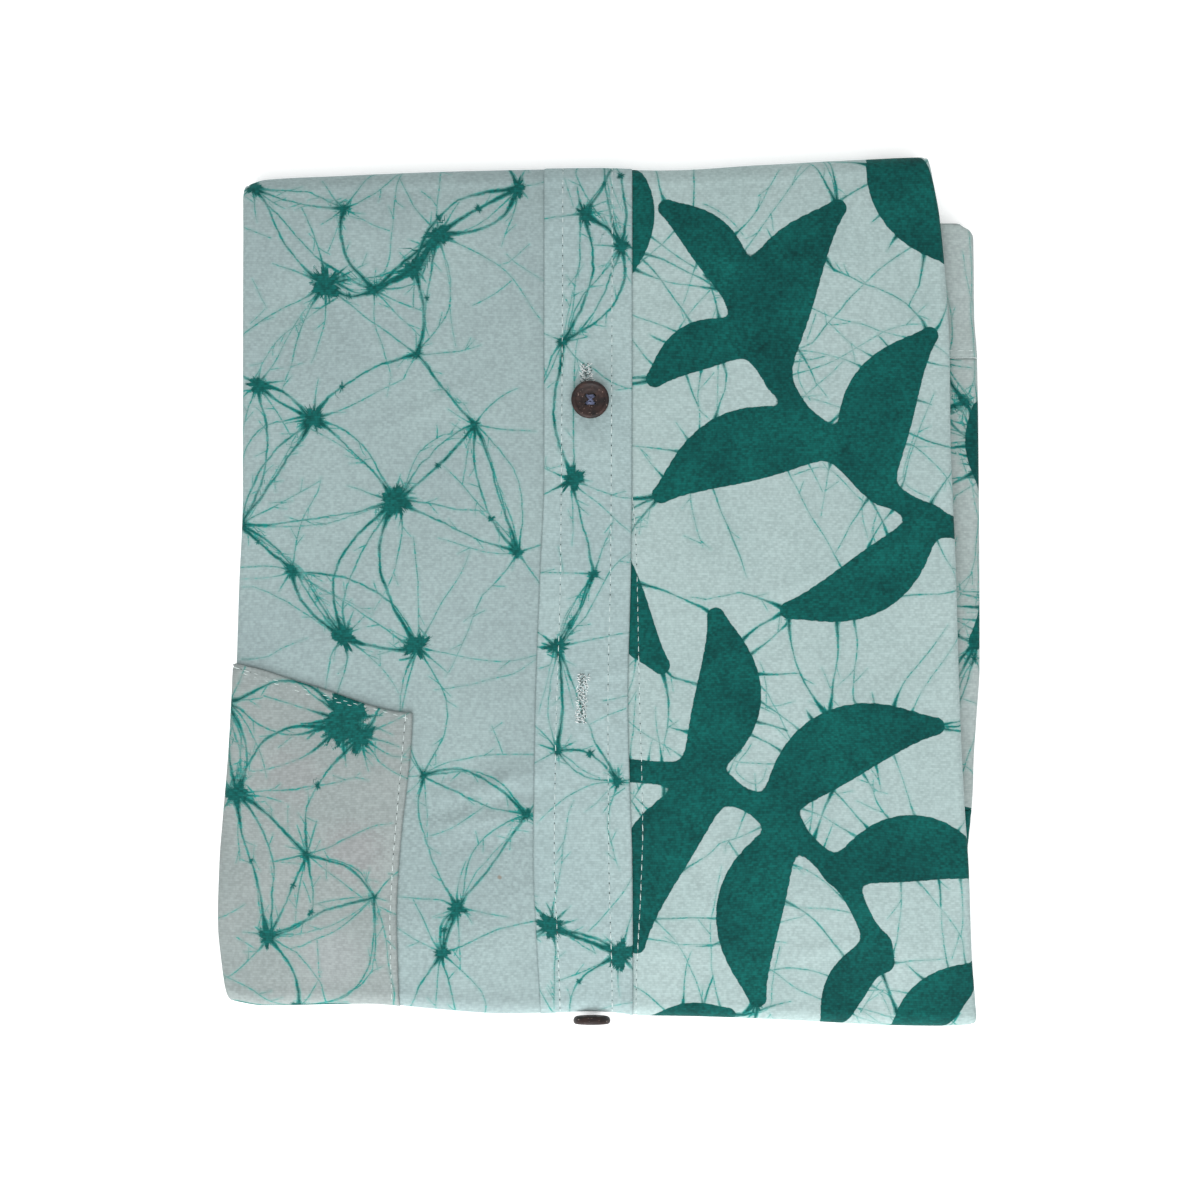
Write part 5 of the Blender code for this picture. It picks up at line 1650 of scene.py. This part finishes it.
def makeButton(name, matrix, cadNode, shell):
    # a turned disc with four holes drilled through, and its thread
    disc = solidFrom(name, *latheGrid(button["profile"], button["segments"]), matrix)
    reach = button["holeReach"] / math.sqrt(2)
    spots = [(reach * a, reach * b) for a, b in ((-1, -1), (1, -1), (1, 1), (-1, 1))]
    hole = ((0, -1), (button["holeRadius"], -1), (button["holeRadius"], 4), (0, 4))
    points, faces = [], []
    for x, y in spots:
        drill, sides = latheGrid(hole, 16)
        faces += [tuple(i + len(points) * len(drill) for i in face) for face in sides]
        points.append(drill + np.array([x, y, 0]))
    cutter = solidFrom(name + "_drill", np.concatenate(points), faces, matrix)
    cut = disc.modifiers.new("holes", "BOOLEAN")
    cut.operation, cut.solver, cut.object = "DIFFERENCE", "EXACT", cutter
    graph = bpy.context.evaluated_depsgraph_get()
    drilled = bpy.data.meshes.new_from_object(disc.evaluated_get(graph))
    disc.modifiers.clear()
    disc.data = drilled
    bpy.data.objects.remove(cutter)
    disc.data.set_sharp_from_angle(angle=math.radians(50))
    finishPiece(disc, shell, [cadNode])
    rng = np.random.default_rng(61)
    count, scatter, firstRise, nextRise = button["loops"]
    points, faces = [], []
    for a, b in ((0, 1), (3, 2), (0, 2), (1, 3)):
        for k in range(count):
            nudge = rng.normal(0, scatter, 4)
            start = (spots[a][0] + nudge[0], spots[a][1] + nudge[1], 1.0)
            end = (spots[b][0] + nudge[2], spots[b][1] + nudge[3], 1.0)
            ring, sides = threadLoop(start, end, firstRise + nextRise * k)
            faces += [tuple(int(i) + len(points) * len(ring) for i in face) for face in sides]
            points.append(ring)
    thread = solidFrom(name + "_thread", np.concatenate(points), faces, matrix)
    finishPiece(thread, blueThread)


shellFinish = coconutShell()
low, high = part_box("button_upper")
middle = [(low[k] + high[k]) / 2 / mm for k in (0, 1)]
lying = np.array([[1.0, 0, 0, middle[0]], [0, 1.0, 0, middle[1]], [0, 0, 1.0, low[2] / mm]])
makeButton("upper_button", lying, "button_upper", shellFinish)
tilt, buttonX = math.radians(button["lean"]), button["leanX"]
rim = max(radius for radius, height in button["profile"])
clothY = min(float(smoothCurve(lowFold, buttonX + side * rim)) for side in (-1, 0, 1))
reach = fold["lowRadius"] + fold["bandLift"] + button["clearance"]
standing = np.array([
    [1.0, 0, 0, buttonX],
    [0, math.cos(tilt), -math.sin(tilt), clothY + fold["lowRadius"] - reach * math.sin(tilt)],
    [0, math.sin(tilt), math.cos(tilt), fold["lowRadius"] + reach * math.cos(tilt)],
])
makeButton("fold_button", standing, "button_fold", shellFinish)
print("buttons")
